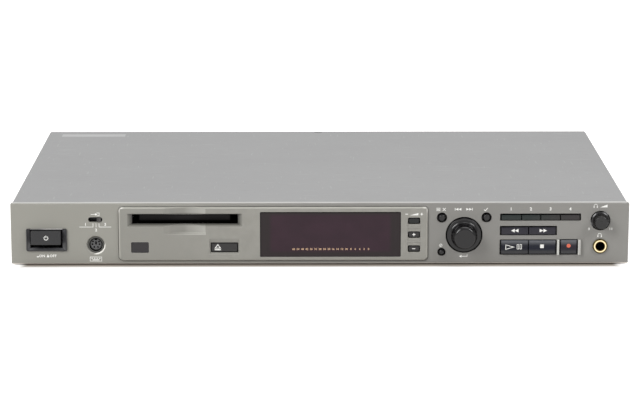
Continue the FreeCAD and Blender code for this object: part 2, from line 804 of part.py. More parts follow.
def fascia_button(name, x, z, hole_wide, hole_high, proud):
    """A cap in its hole through the fascia, a flange behind the plate and a stem to the key switch."""
    body = new_body(name)
    wide, high = hole_wide - 2 * d.button_gap, hole_high - 2 * d.button_gap
    front, back = face_y - proud, panel_back + 0.15
    reach = 2 * d.button_flange
    pad(body, "Y", front, back, box_outline(x, z, wide, high, 0.8))
    dress(body, "Fillet", 0.3, on_plane("Y", front))
    pad(body, "Y", back, back + 1, box_outline(x, z, wide + reach, high + reach, 0.8))
    pad(body, "Y", back + 1, stem_end, circle(x, z, 1.5))


def make_fascia_buttons():
    """Eject button and the three speed buttons, all a little below the face of the fascia."""
    fascia_button("eject_button", d.eject_x, d.eject_z, d.eject_hole_wide, d.eject_hole_high,
                  d.fascia_proud - 0.4)
    for name, z in (("speed_on_button", d.speed_on_z), ("speed_plus_button", d.speed_plus_z),
                    ("speed_minus_button", d.speed_minus_z)):
        fascia_button(name, d.speed_x, z, d.speed_hole_wide, d.speed_hole_high, d.fascia_proud - 0.5)


def make_round_buttons():
    """Menu, yes and clear buttons: cones with a flat nose and a rounded shoulder."""
    for name, x, z, hole in (("menu_button", d.menu_x, d.menu_z, d.round_hole),
                             ("yes_button", d.yes_x, d.yes_z, d.round_hole),
                             ("clear_button", d.clear_x, d.clear_z, d.clear_hole)):
        body = new_body(name)
        outer, nose = hole - d.button_gap, hole * 0.56
        front, back = face_y - 1.6, panel_back + 0.15
        turned(body, "Y", (x, z), [
            (front, 0), (front, nose), (face_y - 0.2, outer - 0.35), (face_y + 0.3, outer),
            (back, outer), (back, outer + d.button_flange), (back + 1, outer + d.button_flange),
            (back + 1, 1.5), (stem_end, 1.5), (stem_end, 0)])
        dress(body, "Fillet", 0.8, on_plane("Y", front))


def make_jog_dial():
    """Jog dial on its shaft, the rotor it slides through, and the fixed encoder body."""
    centre = (d.dial_x, d.dial_z)
    front = face_y - d.dial_reach
    body = new_body("jog_dial")
    skirt = d.dial_hole - d.dial_gap
    skirt_face, back = face_y - 0.5, face_y + 1.2
    flank_foot = 8.7
    turned(body, "Y", centre, [
        (front, 0), (front, 7.5), (skirt_face, flank_foot), (skirt_face, skirt), (back, skirt),
        (back, 8), (front + 2, 7), (front + 2, 5), (face_y - 1, 5), (face_y - 1, d.shaft_radius),
        (front + 2, d.shaft_radius), (front + 2, 0)])
    foot = 2 * math.pi * flank_foot
    dress(body, "Fillet", 1.5, both(on_plane("Y", skirt_face), lambda edge: abs(edge.Length - foot) < 0.1))
    dress(body, "Fillet", 0.5, on_plane("Y", front))
    dress(body, "Fillet", 0.4, both(on_plane("Y", skirt_face), longer_than(70)))
    body = new_body("jog_shaft")
    shaft_end = d.board_y - 2.2
    pad(body, "Y", front + 2, shaft_end, circle(d.dial_x, d.dial_z, d.shaft_radius))
    body = new_body("encoder_rotor")
    running = d.shaft_radius + d.shaft_gap
    cavity = (d.board_y - 5, d.board_y - 2.6)
    pad(body, "Y", cavity[0] + 0.3, cavity[1] - 0.3, circle(d.dial_x, d.dial_z, 5.4),
        circle(d.dial_x, d.dial_z, running))
    body = new_body("encoder_body")
    pad(body, "Y", d.board_y - 6.5, d.board_y, box_outline(d.dial_x, d.dial_z, 13, 13, 0.8))
    pad(body, "Y", face_y + 1.5, d.board_y - 6, circle(d.dial_x, d.dial_z, 4.5))
    turned(body, "Y", centre, [
        (face_y + 1, 0), (face_y + 1, running), (cavity[0], running), (cavity[0], 5.8), (cavity[1], 5.8),
        (cavity[1], running), (d.board_y - 1, running), (d.board_y - 1, 0)], groove=True)


KeyRow = namedtuple("KeyRow", "names edges low high low_gap top_gap proud facet lean dish")


def key_rows():
    """The rows of keys: their names, where each opening ends and is shared, and the shape of the caps."""
    function_edges = [d.key_left, d.function_split_one, d.function_split_two, d.function_split_three,
                      d.function_right]
    pair_edges = [d.key_left, d.key_split, d.key_right]
    flat = (d.flat_key_low_gap, d.flat_key_top_gap)
    tall = (d.tall_key_low_gap, d.tall_key_top_gap)
    return [
        KeyRow(["function_key_%d" % (i + 1) for i in range(4)], function_edges,
               d.function_low, d.function_high, *flat, proud=0.4, facet=0.9, lean=0.25, dish=None),
        KeyRow(["rewind_key", "forward_key"], pair_edges,
               d.wind_low, d.wind_high, *flat, proud=0.6, facet=1, lean=0.3, dish=None),
        KeyRow(["play_key", "stop_key"], pair_edges,
               d.play_low, d.play_high, *tall, proud=1.6, facet=1.4, lean=0.5, dish=as_size(0.5)),
        KeyRow(["record_key"], [d.record_left, d.record_right],
               d.record_low, d.record_high, *tall, proud=1.4, facet=1, lean=0.3, dish=None)]


def key_section(row):
    """Side view of a key cap: a face that may be dished, and a facet above it that leans back."""
    low, high = row.low + row.low_gap, row.high - row.top_gap
    front, back = face_y - row.proud, panel_back + 0.15
    return polygon([(back, low), (front + 0.3, low), (front, low + 0.3), (front, high - row.facet),
                    (front + row.lean, high - 0.25), (front + row.lean + 0.3, high), (back, high)],
                   bow=(2, row.dish) if row.dish else None)


def make_keys():
    """The four function keys, the winding pair, play and stop, and the record key."""
    back = panel_back + 0.15
    for row in key_rows():
        last = len(row.names) - 1
        for i, name in enumerate(row.names):
            left, right = row.edges[i], row.edges[i + 1]
            body = new_body(name)
            pad(body, "X", left + (d.key_split_gap / 2 if i else d.key_gap),
                right - (d.key_split_gap / 2 if i < last else d.key_gap), key_section(row))
            dress(body, "Chamfer", 0.2, lambda edge: edge.BoundBox.XLength < 1e-4
                  and edge.BoundBox.YMin < (face_y - 0.1).value and edge.BoundBox.YLength < 0.9
                  and edge.Length > 0.5)
            pad(body, "Y", back, back + 1, rectangle(
                left + (0.15 if i else -d.key_flange), right - (0.15 if i < last else -d.key_flange),
                row.low - d.key_flange, row.high + d.key_flange))
            pad(body, "Y", back + 1, stem_end, circle((left + right) / 2, (row.low + row.high) / 2, 1.5))


def make_level_control():
    """Input level knob with its shaft, and the potentiometer that holds it."""
    body = new_body("level_knob")
    front = face_y - 8
    base = d.level_hole - d.level_gap
    shaft_end = d.board_y - 3
    turned(body, "Y", (d.level_x, d.level_z), [
        (front, 0), (front, 4.4), (face_y - 2, 5), (face_y - 0.8, 5.6), (face_y - 0.3, base),
        (face_y + 2, base), (face_y + 2, d.shaft_radius), (shaft_end, d.shaft_radius), (shaft_end, 0)])
    dress(body, "Fillet", 0.6, on_plane("Y", front))
    cut(body, "Y", front, front + 0.4, rectangle(
        d.level_x - 0.35, d.level_x + 0.35, d.level_z + 0.8, d.level_z + 4.5))
    body = new_body("level_potentiometer")
    running = d.shaft_radius + d.shaft_gap
    pad(body, "Y", d.board_y - 7, d.board_y, box_outline(d.level_x, d.level_z, 12, 12, 0.8))
    pad(body, "Y", face_y + 3, d.board_y - 6.5, circle(d.level_x, d.level_z, 4.4))
    cut(body, "Y", face_y + 2, d.board_y - 2, circle(d.level_x, d.level_z, running))


def make_phones_socket():
    """Quarter-inch jack and the ring nut round its mouth."""
    body = new_body("phones_jack")
    x, z, back = d.phones_x, d.phones_z, face_y + d.phones_deep + 2
    pad(body, "Y", face_y, panel_back + 3, circle(x, z, d.phones_hole - 0.15))
    pad(body, "Y", panel_back + 2.5, back, box_outline(x, z, 15, 14, 1))
    cut(body, "Y", face_y, face_y + d.phones_deep, circle(x, z, d.phones_bore))
    body = new_body("phones_ring")
    front = face_y - d.phones_ring_proud
    pad(body, "Y", front, face_y, circle(x, z, d.phones_ring), circle(x, z, d.phones_bore))
    dress(body, "Chamfer", 0.4, both(on_plane("Y", front), longer_than(25)))


# ---- Boards ----

def make_front_board():
    """Board behind the controls, in two pieces beside the drive, with a switch behind every key."""
    body = new_body("front_board")
    x_right = d.phones_x - 9
    back = d.board_y + d.board_thick
    pad(body, "Y", d.board_y, back,
        rectangle(d.display_left, x_right, 4.5, 41, 1),
        rectangle(x_right + 0.5, 208, 24, 41, 1),
        rectangle(-206, -178, 26.5, 41, 1),
        rectangle(-166, -146, 27, 41, 1))
    switches = []
    places = [(d.speed_x, d.speed_on_z), (d.speed_x, d.speed_plus_z), (d.speed_x, d.speed_minus_z),
              (d.menu_x, d.menu_z), (d.yes_x, d.yes_z), (d.clear_x, d.clear_z)]
    for row in key_rows():
        for left, right in zip(row.edges, row.edges[1:]):
            places.append(((left + right) / 2, (row.low + row.high) / 2))
    for x, z in places:
        switches.append(box_outline(x, z, 6, 6))
    pad(body, "Y", switch_y + 0.8, d.board_y, *switches)
    pad(body, "Y", switch_y, switch_y + 0.8, *[circle(x, z, 1.7) for x, z in places])
    pad(body, "Y", input_switch_y, d.board_y, box_outline(d.input_x, d.input_z, 14, 6, 0.5))


def make_display_tube():
    """Fluorescent display: a flat glass envelope on the board behind the window."""
    body = new_body("display_tube")
    pad(body, "Y", d.board_y - 9, d.board_y - 2, rectangle(
        d.display_left + 2.5, d.display_right - 2.5, d.display_low + 2.5, d.display_high - 2.5, 1))
    pad(body, "Y", d.board_y - 2, d.board_y, rectangle(
        d.display_left + 8, d.display_right - 8, d.display_low + 6, d.display_high - 6))


def make_transformer():
    """Mains transformer: laminated core and a wound bobbin."""
    body = new_body("mains_transformer")
    low = d.floor_z + d.sheet
    pad(body, "Z", low, low + 1.5, rectangle(-208, -158, -62, -10, 2))
    pad(body, "Z", low + 1, low + 33, rectangle(-206, -160, -48, -24, 1))
    pad(body, "Z", low + 6, low + 28, rectangle(-199, -167, -58, -14, 4))


def make_power_supply_board():
    """Power supply board with capacitors and a heat sink, on its stand-offs."""
    body = new_body("power_supply_board")
    pad(body, "Z", d.floor_z + d.sheet, 8, *[circle(x, y, 3) for x in (-202, -102) for y in (6, 114)])
    pad(body, "Z", 8, 8 + d.board_thick, rectangle(-206, -98, 2, 130, 1))
    top = 8 + d.board_thick
    for x, y, radius, high in ((-186, 40, 9, 26), (-162, 40, 9, 26), (-140, 30, 6, 20), (-124, 30, 6, 20)):
        pad(body, "Z", top, top + high, circle(x, y, radius))
    pad(body, "Z", top, top + 24, rectangle(-196, -120, 66, 70))
    fin = pad(body, "Z", top + 2, top + 24, rectangle(-194, -192, 70, 82))
    pattern_line(body, fin, "X", 70, 8)


def make_main_board():
    """Main board with its larger chips and capacitors, on its stand-offs."""
    body = new_body("main_board")
    pad(body, "Z", d.floor_z + d.sheet, 8, *[circle(x, y, 3) for x in (-38, 80, 202) for y in (6, 114)])
    top = 8 + d.board_thick
    pad(body, "Z", 8, top, rectangle(-42, 206, 2, 120, 1))
    chips = [rectangle(x, x + size, y, y + size) for x, y, size in
             ((0, 40, 20), (40, 36, 14), (70, 60, 26), (120, 30, 20), (150, 70, 12), (20, 84, 12))]
    pad(body, "Z", top, top + 2.4, *chips)
    cans = [circle(60 + 14 * i, 104, 4) for i in range(8)]
    pad(body, "Z", top, top + 10, *cans)


# ---- MiniDisc mechanism ----

def make_drive_frame():
    """Folded chassis of the drive on four stand-offs: its walls have upright slots for the holder's pins."""
    body = new_body("drive_frame")
    pad(body, "Z", d.floor_z + d.sheet, d.drive_floor_z, *[
        circle(d.slot_x + x, y, 3.5) for x in (-40, 40) for y in (-112, -58)])
    half, sheet = d.drive_half_wide, d.drive_sheet
    left, right = d.slot_x - half, d.slot_x + half
    top = d.drive_floor_z + sheet
    pad(body, "Z", d.drive_floor_z, top, rectangle(left, right, d.drive_front_y, d.drive_rear_y, 1))
    for low_x in (left, right - sheet):
        pad(body, "X", low_x, low_x + sheet, rectangle(
            d.drive_front_y + 4, d.drive_rear_y - 10, d.drive_floor_z, d.drive_wall_top))
    radius = d.holder_pin_radius + d.pin_slot_gap
    pin_z = d.cartridge_z + d.cartridge_thick / 2
    slots = [rectangle(y - radius, y + radius, pin_z - d.holder_drop - radius, pin_z + radius, radius - 0.01)
             for y in (d.holder_pin_front_y, d.holder_pin_rear_y)]
    cut(body, "X", left - 1, right + 1, *slots)
    for y in (d.sled_front_y - 3, d.drive_rear_y - 4):
        pad(body, "Z", top, 21, rectangle(d.slot_x - 16, d.slot_x - 8, y, y + 3),
            rectangle(d.slot_x + 8, d.slot_x + 16, y, y + 3))
    rods = [circle(d.slot_x + side * d.rod_x, d.sled_low + 2.2, d.rod_radius) for side in (-1, 1)]
    cut(body, "Y", d.sled_front_y - 3, d.drive_rear_y - 1, *rods)


def make_cartridge_holder():
    """Sheet tray that takes the cartridge from the slot and drops with it onto the spindle."""
    body = new_body("cartridge_holder")
    sheet, slack = 0.8, 0.3
    half = d.cartridge_wide / 2 + slack
    front = d.drive_front_y - 1
    back = d.spindle_y + d.cartridge_long / 2 + 1
    low = d.cartridge_z - sheet
    high = d.cartridge_z + d.cartridge_thick + slack
    x = d.slot_x
    pad(body, "Y", front, back,
        rectangle(x - half - sheet, x + half + sheet, low, high + sheet))
    cut(body, "Y", front, back, rectangle(x - half, x + half, low + sheet, high))
    cut(body, "Y", front, back, rectangle(x - half + 6, x + half - 6, low - 1, high - 2))
    cut(body, "Z", high - 1, high + sheet + 1, rectangle(x - 11, x + 11, d.spindle_y + 2, back + 1))
    pin_z = d.cartridge_z + d.cartridge_thick / 2
    reach = d.drive_half_wide + d.slider_gap + 0.9
    pins = [circle(y, pin_z, d.holder_pin_radius) for y in (d.holder_pin_front_y, d.holder_pin_rear_y)]
    pad(body, "X", x - reach, x - half, *pins)
    pad(body, "X", x + half, x + reach, *pins)


def rack_cut(body, edge_x, side, mesh_y, before, after, low, high):
    """Cut tooth gaps into a straight edge that faces along X; one gap is centred where the gear meshes."""
    module = d.gear_module
    pitch = module * math.pi
    tip, root = d.rack_tip * module, 1.25 * module
    slope = math.tan(math.radians(20))
    half_gap = (pitch / 2 + 0.2) / 2
    tip_half, root_half = half_gap + tip * slope, half_gap - root * slope
    first_y = mesh_y - pitch * before
    outline = polygon([(edge_x + side * 0.2, first_y - tip_half), (edge_x + side * 0.2, first_y + tip_half),
                       (edge_x - side * (tip + root), first_y + root_half),
                       (edge_x - side * (tip + root), first_y - root_half)])
    gap = cut(body, "Z", low, high, outline)
    return pattern_line(body, gap, "Y", pitch * (before + after), before + after + 1)


def gear(name, centre, teeth, low, high):
    """A spur gear about a vertical axis with involute flanks, one gap cut and repeated."""
    body = new_body(name)
    teeth = int(teeth.value)
    module = d.gear_module.value
    pitch_radius = module * teeth / 2
    base_radius = pitch_radius * math.cos(math.radians(20))
    tip, root = pitch_radius + 0.9 * module, pitch_radius - 1.0 * module
    x, y = centre
    pad(body, "Z", low, high, circle(x, y, tip), circle(x, y, 1.5 + d.shaft_gap))
    half_tooth = (math.pi * module / 2 - 0.2) / 2 / pitch_radius

    def involute(angle):
        return math.tan(angle) - angle

    def half_angle(radius):
        pressure = math.acos(min(1, base_radius / radius))
        return half_tooth + involute(math.radians(20)) - involute(pressure)

    steps = [base_radius + (tip - base_radius) * i / 3 for i in range(4)]
    flank = [(root, half_angle(steps[0]))] + [(radius, half_angle(radius)) for radius in steps]
    flank.append((tip + module, half_angle(tip)))
    spacing = 2 * math.pi / teeth
    sides = flank + [(radius, spacing - angle) for radius, angle in reversed(flank)]
    points = [(radius * math.cos(turn), radius * math.sin(turn)) for radius, turn in sides]
    gap = body.newObject("PartDesign::Pocket", name + "_gap")
    gap.Profile = sketch_on(body, "Z", low, [polygon(points)], across=x, up=y)
    gap.Reversed = True
    bind(gap, Length=high - low)
    ring = body.newObject("PartDesign::PolarPattern", name + "_teeth")
    ring.Originals = [gap]
    ring.Axis = (gap.Profile[0], ["N_Axis"])
    ring.Angle = 360
    ring.Occurrences = teeth
    body.Tip = ring
    return body


def slider_outer():
    """Half the width of the load slider."""
    return d.drive_half_wide + d.slider_gap + 1


def gear_centre():
    """Axis of the loading gear, beside the slider's left plate."""
    pitch_radius = d.gear_module * d.gear_teeth / 2
    return d.slot_x - slider_outer() - d.rack_reach - pitch_radius + d.rack_tip * d.gear_module, d.gear_y


def pinion_centre():
    """Axis of the sled's pinion, beside the sled's rack."""
    pitch_radius = d.gear_module * d.pinion_teeth / 2
    return (d.slot_x + d.sled_half_wide + d.rack_reach + pitch_radius - d.rack_tip * d.gear_module,
            d.sled_front_y + 18)


def make_load_slider():
    """Sliding frame outside the chassis: sloping cam slots lower the holder, a rack drives it."""
    body = new_body("load_slider")
    inner, outer = d.drive_half_wide + d.slider_gap, slider_outer()
    front, back = d.drive_front_y + 5, d.drive_rear_y - 20
    x = d.slot_x
    for low_x in (x - outer, x + inner):
        pad(body, "X", low_x, low_x + 1, rectangle(front, back, 12, 38))
        pad(body, "X", low_x, low_x + 1, rectangle(back - 10, back, 5, 14))
    pad(body, "Z", 5, 6.2, rectangle(x - outer, x + outer, back - 10, back))
    radius = d.holder_pin_radius + d.pin_slot_gap
    top_z = d.cartridge_z + d.cartridge_thick / 2
    slope = d.holder_drop / d.slider_travel
    rise = math.atan2(d.holder_drop.value, d.slider_travel.value)
    across, along = radius / math.cos(rise), radius
    for y in (d.holder_pin_front_y, d.holder_pin_rear_y):
        near, far = y + along + 0.1, y - d.slider_travel - along - 0.1
        far_z = top_z - (y - far) * slope
        near_z = top_z + (near - y) * slope
        cut(body, "X", x - outer - 1, x + outer + 1, polygon([
            (near, near_z + across), (far, far_z + across), (far, far_z - across), (near, near_z - across)]))
    rack_x = x - outer - d.rack_reach
    pad(body, "Z", 14.2, 17.8, rectangle(rack_x, x - outer, d.gear_y - 22, d.gear_y + 13))
    rack_cut(body, rack_x, -1, d.gear_y, 5, 3, as_size(14.2), as_size(17.8))


def make_mechanism_gears():
    """Loading gear on its post and sled pinion, both in mesh with their racks."""
    gear("loading_gear", gear_centre(), d.gear_teeth, as_size(14), as_size(18))
    gear("sled_pinion", pinion_centre(), d.pinion_teeth, as_size(16.4), as_size(19.4))


def make_motors():
    """Loading motor, sled motor and spindle motor: flat cans with a short shaft."""
    low = d.floor_z + d.sheet
    x, y = gear_centre()
    body = new_body("loading_motor")
    pad(body, "Z", low, 12.5, circle(x, y, 7))
    pad(body, "Z", 12, 18.6, circle(x, y, 1.5))
    top = d.drive_floor_z + d.drive_sheet
    x, y = pinion_centre()
    body = new_body("sled_motor")
    pad(body, "Z", top, 15.6, circle(x, y, 6))
    pad(body, "Z", 15, 20, circle(x, y, 1.5))
    body = new_body("spindle_motor")
    turned(body, "Z", (d.slot_x, d.spindle_y), [
        (top, 0), (top, 11), (14.4, 11), (14.4, 4), (16, 4), (16, 1.5), (24, 1.5), (24, 0)])


def make_turntable():
    """Turntable with the centring boss that enters the disc's hub."""
    body = new_body("turntable")
    bore = 1.5 + d.shaft_gap
    turned(body, "Z", (d.slot_x, d.spindle_y), [
        (16.4, bore), (16.4, 9), (18, 9), (19, 6), (24.6, 5), (26, 3), (26, bore)])


def make_optical_sled():
    """Optical pickup sled on two guide rods, with its lens, its rack and the arm bracket."""
    body = new_body("optical_sled")
    x, front, back = d.slot_x, d.sled_front_y, d.sled_front_y + d.sled_long
    half = d.sled_half_wide
    pad(body, "Z", d.sled_low, d.sled_high, rectangle(x - half, x + half, front, back - 8, 2))
    pad(body, "Z", d.sled_low, d.sled_low + 3, rectangle(x - half, x + half, back - 9, back))
    rod_z = d.sled_low + 2.2
    cut(body, "Y", front, back, circle(x - d.rod_x, rod_z, d.rod_radius + d.shaft_gap),
        circle(x + d.rod_x, rod_z, d.rod_radius + d.shaft_gap))
    pad(body, "Z", d.sled_high, d.sled_high + 1.2, circle(x, front + 5, 4))
    pad(body, "Z", d.sled_low + 2.5, d.drive_wall_top - 1.4, rectangle(x - 5, x + 5, back - 5, back))
    cut(body, "X", x - 2.2, x + 2.2, rectangle(
        back - 6, back + 1, d.drive_wall_top - 5, d.drive_wall_top))
    cut(body, "X", x - 5, x + 5, circle(back - 2.5, d.drive_wall_top - 2.4, 0.8 + d.shaft_gap))
    rack_x = x + half + d.rack_reach
    pad(body, "Z", 16.6, 19.2, rectangle(x + half - 1, rack_x, front, back))
    rack_cut(body, rack_x, 1, pinion_centre()[1], 5, 3, as_size(16.6), as_size(19.2))
    body = new_body("guide_rods")
    pad(body, "Y", d.sled_front_y - 3, d.drive_rear_y - 1, circle(x - d.rod_x, rod_z, d.rod_radius),
        circle(x + d.rod_x, rod_z, d.rod_radius))


def make_head_arm():
    """Arm over the cartridge that lowers the magnetic head through the holder's window."""
    body = new_body("head_arm")
    x = d.slot_x
    back = d.sled_front_y + d.sled_long
    pivot_y, pivot_z = back - 2.5, d.drive_wall_top - 2.4
    pad(body, "X", x - 2, x + 2, circle(pivot_y, pivot_z, 1.6))
    pad(body, "X", x - 5, x + 5, circle(pivot_y, pivot_z, 0.8))
    pad(body, "Z", pivot_z + 0.3, pivot_z + 1.3, rectangle(x - 2, x + 2, d.sled_front_y + 4, pivot_y))
    pad(body, "Z", pivot_z - 1.2, pivot_z + 0.4, rectangle(
        x - 4, x + 4, d.sled_front_y + 1, d.sled_front_y + 8, 1))


# ---- Rear sockets ----

def make_mains_inlet():
    """Three-pin appliance inlet: a flanged body with an open cavity and three blades."""
    body = new_body("mains_inlet")
    x, z = d.inlet_x, d.inlet_z
    mouth = case_back + 2
    pad(body, "Y", case_back, mouth, box_outline(x, z, 31, 24, 3))
    pad(body, "Y", case_back - 18, case_back, box_outline(x, z, 27, 19.6, 2))
    cut(body, "Y", case_back - 15, mouth, polygon([
        (x - 12, z - 8.2), (x + 12, z - 8.2), (x + 12, z + 3.6), (x + 7.4, z + 8.2), (x - 7.4, z + 8.2),
        (x - 12, z + 3.6)]))
    blades = [box_outline(x - 7, z - 1, 2, 4), box_outline(x + 7, z - 1, 2, 4), box_outline(x, z + 3, 2, 4)]
    pad(body, "Y", case_back - 16, mouth - 5.5, *blades)


def make_xlr_sockets():
    """Four round balanced sockets: two with contact holes, two with an open cup and pins."""
    body = new_body("xlr_sockets")
    mouth = case_back + 2
    for i in range(4):
        x = d.xlr_first_x + d.xlr_pitch * i
        pad(body, "Y", case_back, mouth, box_outline(x, d.xlr_z, 26, 31, 2))
        pad(body, "Y", case_back - 20, case_back, circle(x, d.xlr_z, 11.8))
        pins = []
        for angle in (-90, 30, 150):
            across = 4.0 * math.cos(math.radians(angle))
            up = 4.0 * math.sin(math.radians(angle))
            pins.append(circle(x + across, d.xlr_z + up, 1.25))
        if i < 2:
            cut(body, "Y", case_back - 12, mouth, *pins)
            cut(body, "Y", case_back - 8, mouth, circle(x, d.xlr_z, 10.2), circle(x, d.xlr_z, 8.2))
        else:
            cut(body, "Y", case_back - 14, mouth, circle(x, d.xlr_z, 9.2))
            pad(body, "Y", case_back - 15, mouth - 5.5, *pins)


def make_phono_sockets():
    """Six phono sockets in two rows: metal collars in a moulded block."""
    places = [(d.phono_first_x + d.phono_pitch * column, z)
              for column in range(3) for z in (d.phono_low, d.phono_high)]
    collars = doc.addObject("PartDesign::Body", "phono_collars")
    bore = [circle(x, z, 1.6) for x, z in places]
    for start, end, radius in ((-d.sheet, 0, 4.5), (0, 1, 5.2), (1, d.socket_reach, 4.15)):
        rings = [circle(x, z, radius) for x, z in places]
        pad(collars, "Y", case_back + start, case_back + end, *rings, *bore)
    block = doc.addObject("PartDesign::Body", "phono_block")
    left, right = d.phono_first_x - 8, d.phono_first_x + 2 * d.phono_pitch + 8
    pad(block, "Y", case_back - 14, case_back - d.sheet, rectangle(left, right, 8, 34))
    cut(block, "Y", case_back - 8, case_back - d.sheet, *bore)
    sockets = doc.addObject("Part::Compound", "phono_sockets")
    sockets.Links = [collars, block]
    keep(sockets, "phono_sockets")


def make_optical_sockets():
    """Two square optical sockets with closed shutters."""
    body = new_body("optical_sockets")
    for i in range(2):
        x = d.optical_x + d.optical_pitch * i
        pad(body, "Y", case_back - 12, case_back + 0.6, box_outline(x, d.optical_z, 10, 10, 0.6))
        pad(body, "Y", case_back - 12, case_back - d.sheet, box_outline(x, d.optical_z, 13, 13))
        cut(body, "Y", case_back - 2, case_back + 0.6, box_outline(x, d.optical_z, 7, 7, 1.5))


PARTS = [
    make_base_pan,
    make_rear_panel,
    make_top_cover,
    make_cover_screws,
    make_feet,
    make_front_panel,
    make_centre_fascia,
    make_slot_flap,
    make_windows,
    make_power_controls,
    make_input_lever,
    make_keyboard_socket,
    make_fascia_buttons,
    make_round_buttons,
    make_jog_dial,
    make_keys,
    make_level_control,
    make_phones_socket,
    make_front_board,
    make_display_tube,
    make_transformer,
    make_power_supply_board,
    make_main_board,
    make_drive_frame,
    make_cartridge_holder,
    make_load_slider,
    make_mechanism_gears,
    make_motors,
    make_turntable,
    make_optical_sled,
    make_head_arm,
    make_mains_inlet,
    make_xlr_sockets,
    make_phono_sockets,
    make_optical_sockets,
]


def check_document():
    """Stop if any object failed, any cut removed nothing, or any sub-part is not a sound solid."""
    for thing in doc.Objects:
        if "Invalid" in thing.State or "Error" in thing.State:
            raise RuntimeError("failed: %s %s" % (thing.Label, thing.State))
        if thing.TypeId in ("PartDesign::Pocket", "PartDesign::Groove", "PartDesign::SubtractiveLoft"):
            if thing.Shape.Volume > thing.BaseFeature.Shape.Volume - 1e-3:
                raise RuntimeError("cut nothing: " + thing.Label)
    for thing in subparts:
        if thing.Shape.isNull() or not thing.Shape.isValid() or not thing.Shape.Solids:
            raise RuntimeError("bad shape: " + thing.Label)


def write_steps():
    os.makedirs("parts", exist_ok=True)
    for thing in subparts:
        thing.Shape.exportStep("parts/%s.step" % thing.Label)


for make in PARTS:
    make()
doc.recompute()
check_document()
write_steps()
print(len(subparts), "sub-parts")
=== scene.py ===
import math

import bmesh
import bpy
from mathutils import Matrix, Vector


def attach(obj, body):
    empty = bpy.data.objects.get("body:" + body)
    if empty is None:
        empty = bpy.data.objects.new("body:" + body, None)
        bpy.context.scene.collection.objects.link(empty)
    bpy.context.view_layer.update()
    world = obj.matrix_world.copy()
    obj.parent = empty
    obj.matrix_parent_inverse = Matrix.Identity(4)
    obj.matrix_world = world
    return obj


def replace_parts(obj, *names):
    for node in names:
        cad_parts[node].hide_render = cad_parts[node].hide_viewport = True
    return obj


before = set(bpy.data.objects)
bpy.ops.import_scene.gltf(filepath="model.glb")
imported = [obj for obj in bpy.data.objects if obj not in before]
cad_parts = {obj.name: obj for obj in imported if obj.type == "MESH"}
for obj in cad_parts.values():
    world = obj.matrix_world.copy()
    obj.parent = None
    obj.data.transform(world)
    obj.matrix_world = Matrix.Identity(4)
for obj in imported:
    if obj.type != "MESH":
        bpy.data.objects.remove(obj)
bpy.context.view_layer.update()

# The row frame in metres: X across the front, +Y towards the back, +Z up, the floor at 0.
# Places in this script are in millimetres and are turned into metres where a mesh is made.
MM = 0.001

# Surfaces by their place along Y: the panel, the fascia, the display window and the back.
FACE_Y = -132.0
FASCIA_Y = FACE_Y - 1.6
WINDOW_Y = -132.7
BACK_Y = 136.0

# Round controls and sockets by their axis, and rectangles by their middle and half size, as (x, z).
DIAL = (100.3, 21.3)
PHONES = (195.2, 13.3)
KEYBOARD = (-156.1, 14.5)
SLOT_MIDDLE, SLOT_HALF = (-93.9, 32.7), (36.9, 3.3)
FASCIA_MIDDLE, FASCIA_HALF = (-32.5, 22.4), (106.2, 17.8)

# The four round rear sockets: the x of the first, the step to the next, and their height.
XLR_X, XLR_STEP, XLR_Z = -112.0, 30.0, 22.0

# How far printed ink stands out of its surface and how far it reaches in.
INK_PROUD = 0.03
INK_SUNK = 0.05

BLACK = (0.002, 0.002, 0.002)


def add_object(name, data):
    """A new object in the scene."""
    thing = bpy.data.objects.new(name, data)
    bpy.context.scene.collection.objects.link(thing)
    return thing


# ---- Camera, lamps, floor ----

def make_camera():
    """A long lens a little above the front, at the photograph's viewpoint."""
    data = bpy.data.cameras.new("camera")
    data.sensor_width = 36.0
    data.lens = 138.70
    data.clip_end = 20.0
    camera = add_object("camera", data)
    camera.location = (-0.01034, -1.80392, 0.41056)
    pitch, yaw = math.radians(12.290), math.radians(0.354)
    camera.rotation_euler = (math.pi / 2 - pitch, 0.0, -yaw)
    bpy.context.scene.camera = camera


def add_lamp(name, place, width, height, watts):
    """A rectangular softbox that faces the deck's middle. Its place and size are in metres."""
    data = bpy.data.lights.new(name, "AREA")
    data.shape = "RECTANGLE"
    data.size = width
    data.size_y = height
    data.energy = watts
    lamp = add_object(name, data)
    lamp.location = place
    lamp.rotation_euler = (-Vector(place)).to_track_quat("-Z", "Y").to_euler()


def seen_directly(tree):
    """1 for rays from the camera, mirrors and glass, 0 for the rays that light the scene."""
    path = tree.nodes.new("ShaderNodeLightPath")
    result = path.outputs["Is Camera Ray"]
    for name in ("Is Glossy Ray", "Is Transmission Ray"):
        either = tree.nodes.new("ShaderNodeMath")
        either.operation = "MAXIMUM"
        tree.links.new(result, either.inputs[0])
        tree.links.new(path.outputs[name], either.inputs[1])
        result = either.outputs[0]
    return result


def make_world():
    """White where it is seen, and a plain soft light on the object."""
    world = bpy.data.worlds.new("studio")
    bpy.context.scene.world = world
    world.use_nodes = True
    tree = world.node_tree
    background = tree.nodes["Background"]
    background.inputs["Color"].default_value = (1.0, 1.0, 1.0, 1.0)
    level = tree.nodes.new("ShaderNodeMapRange")
    level.inputs["To Min"].default_value = 0.26
    level.inputs["To Max"].default_value = 1.0
    tree.links.new(seen_directly(tree), level.inputs["Value"])
    tree.links.new(level.outputs["Result"], background.inputs["Strength"])


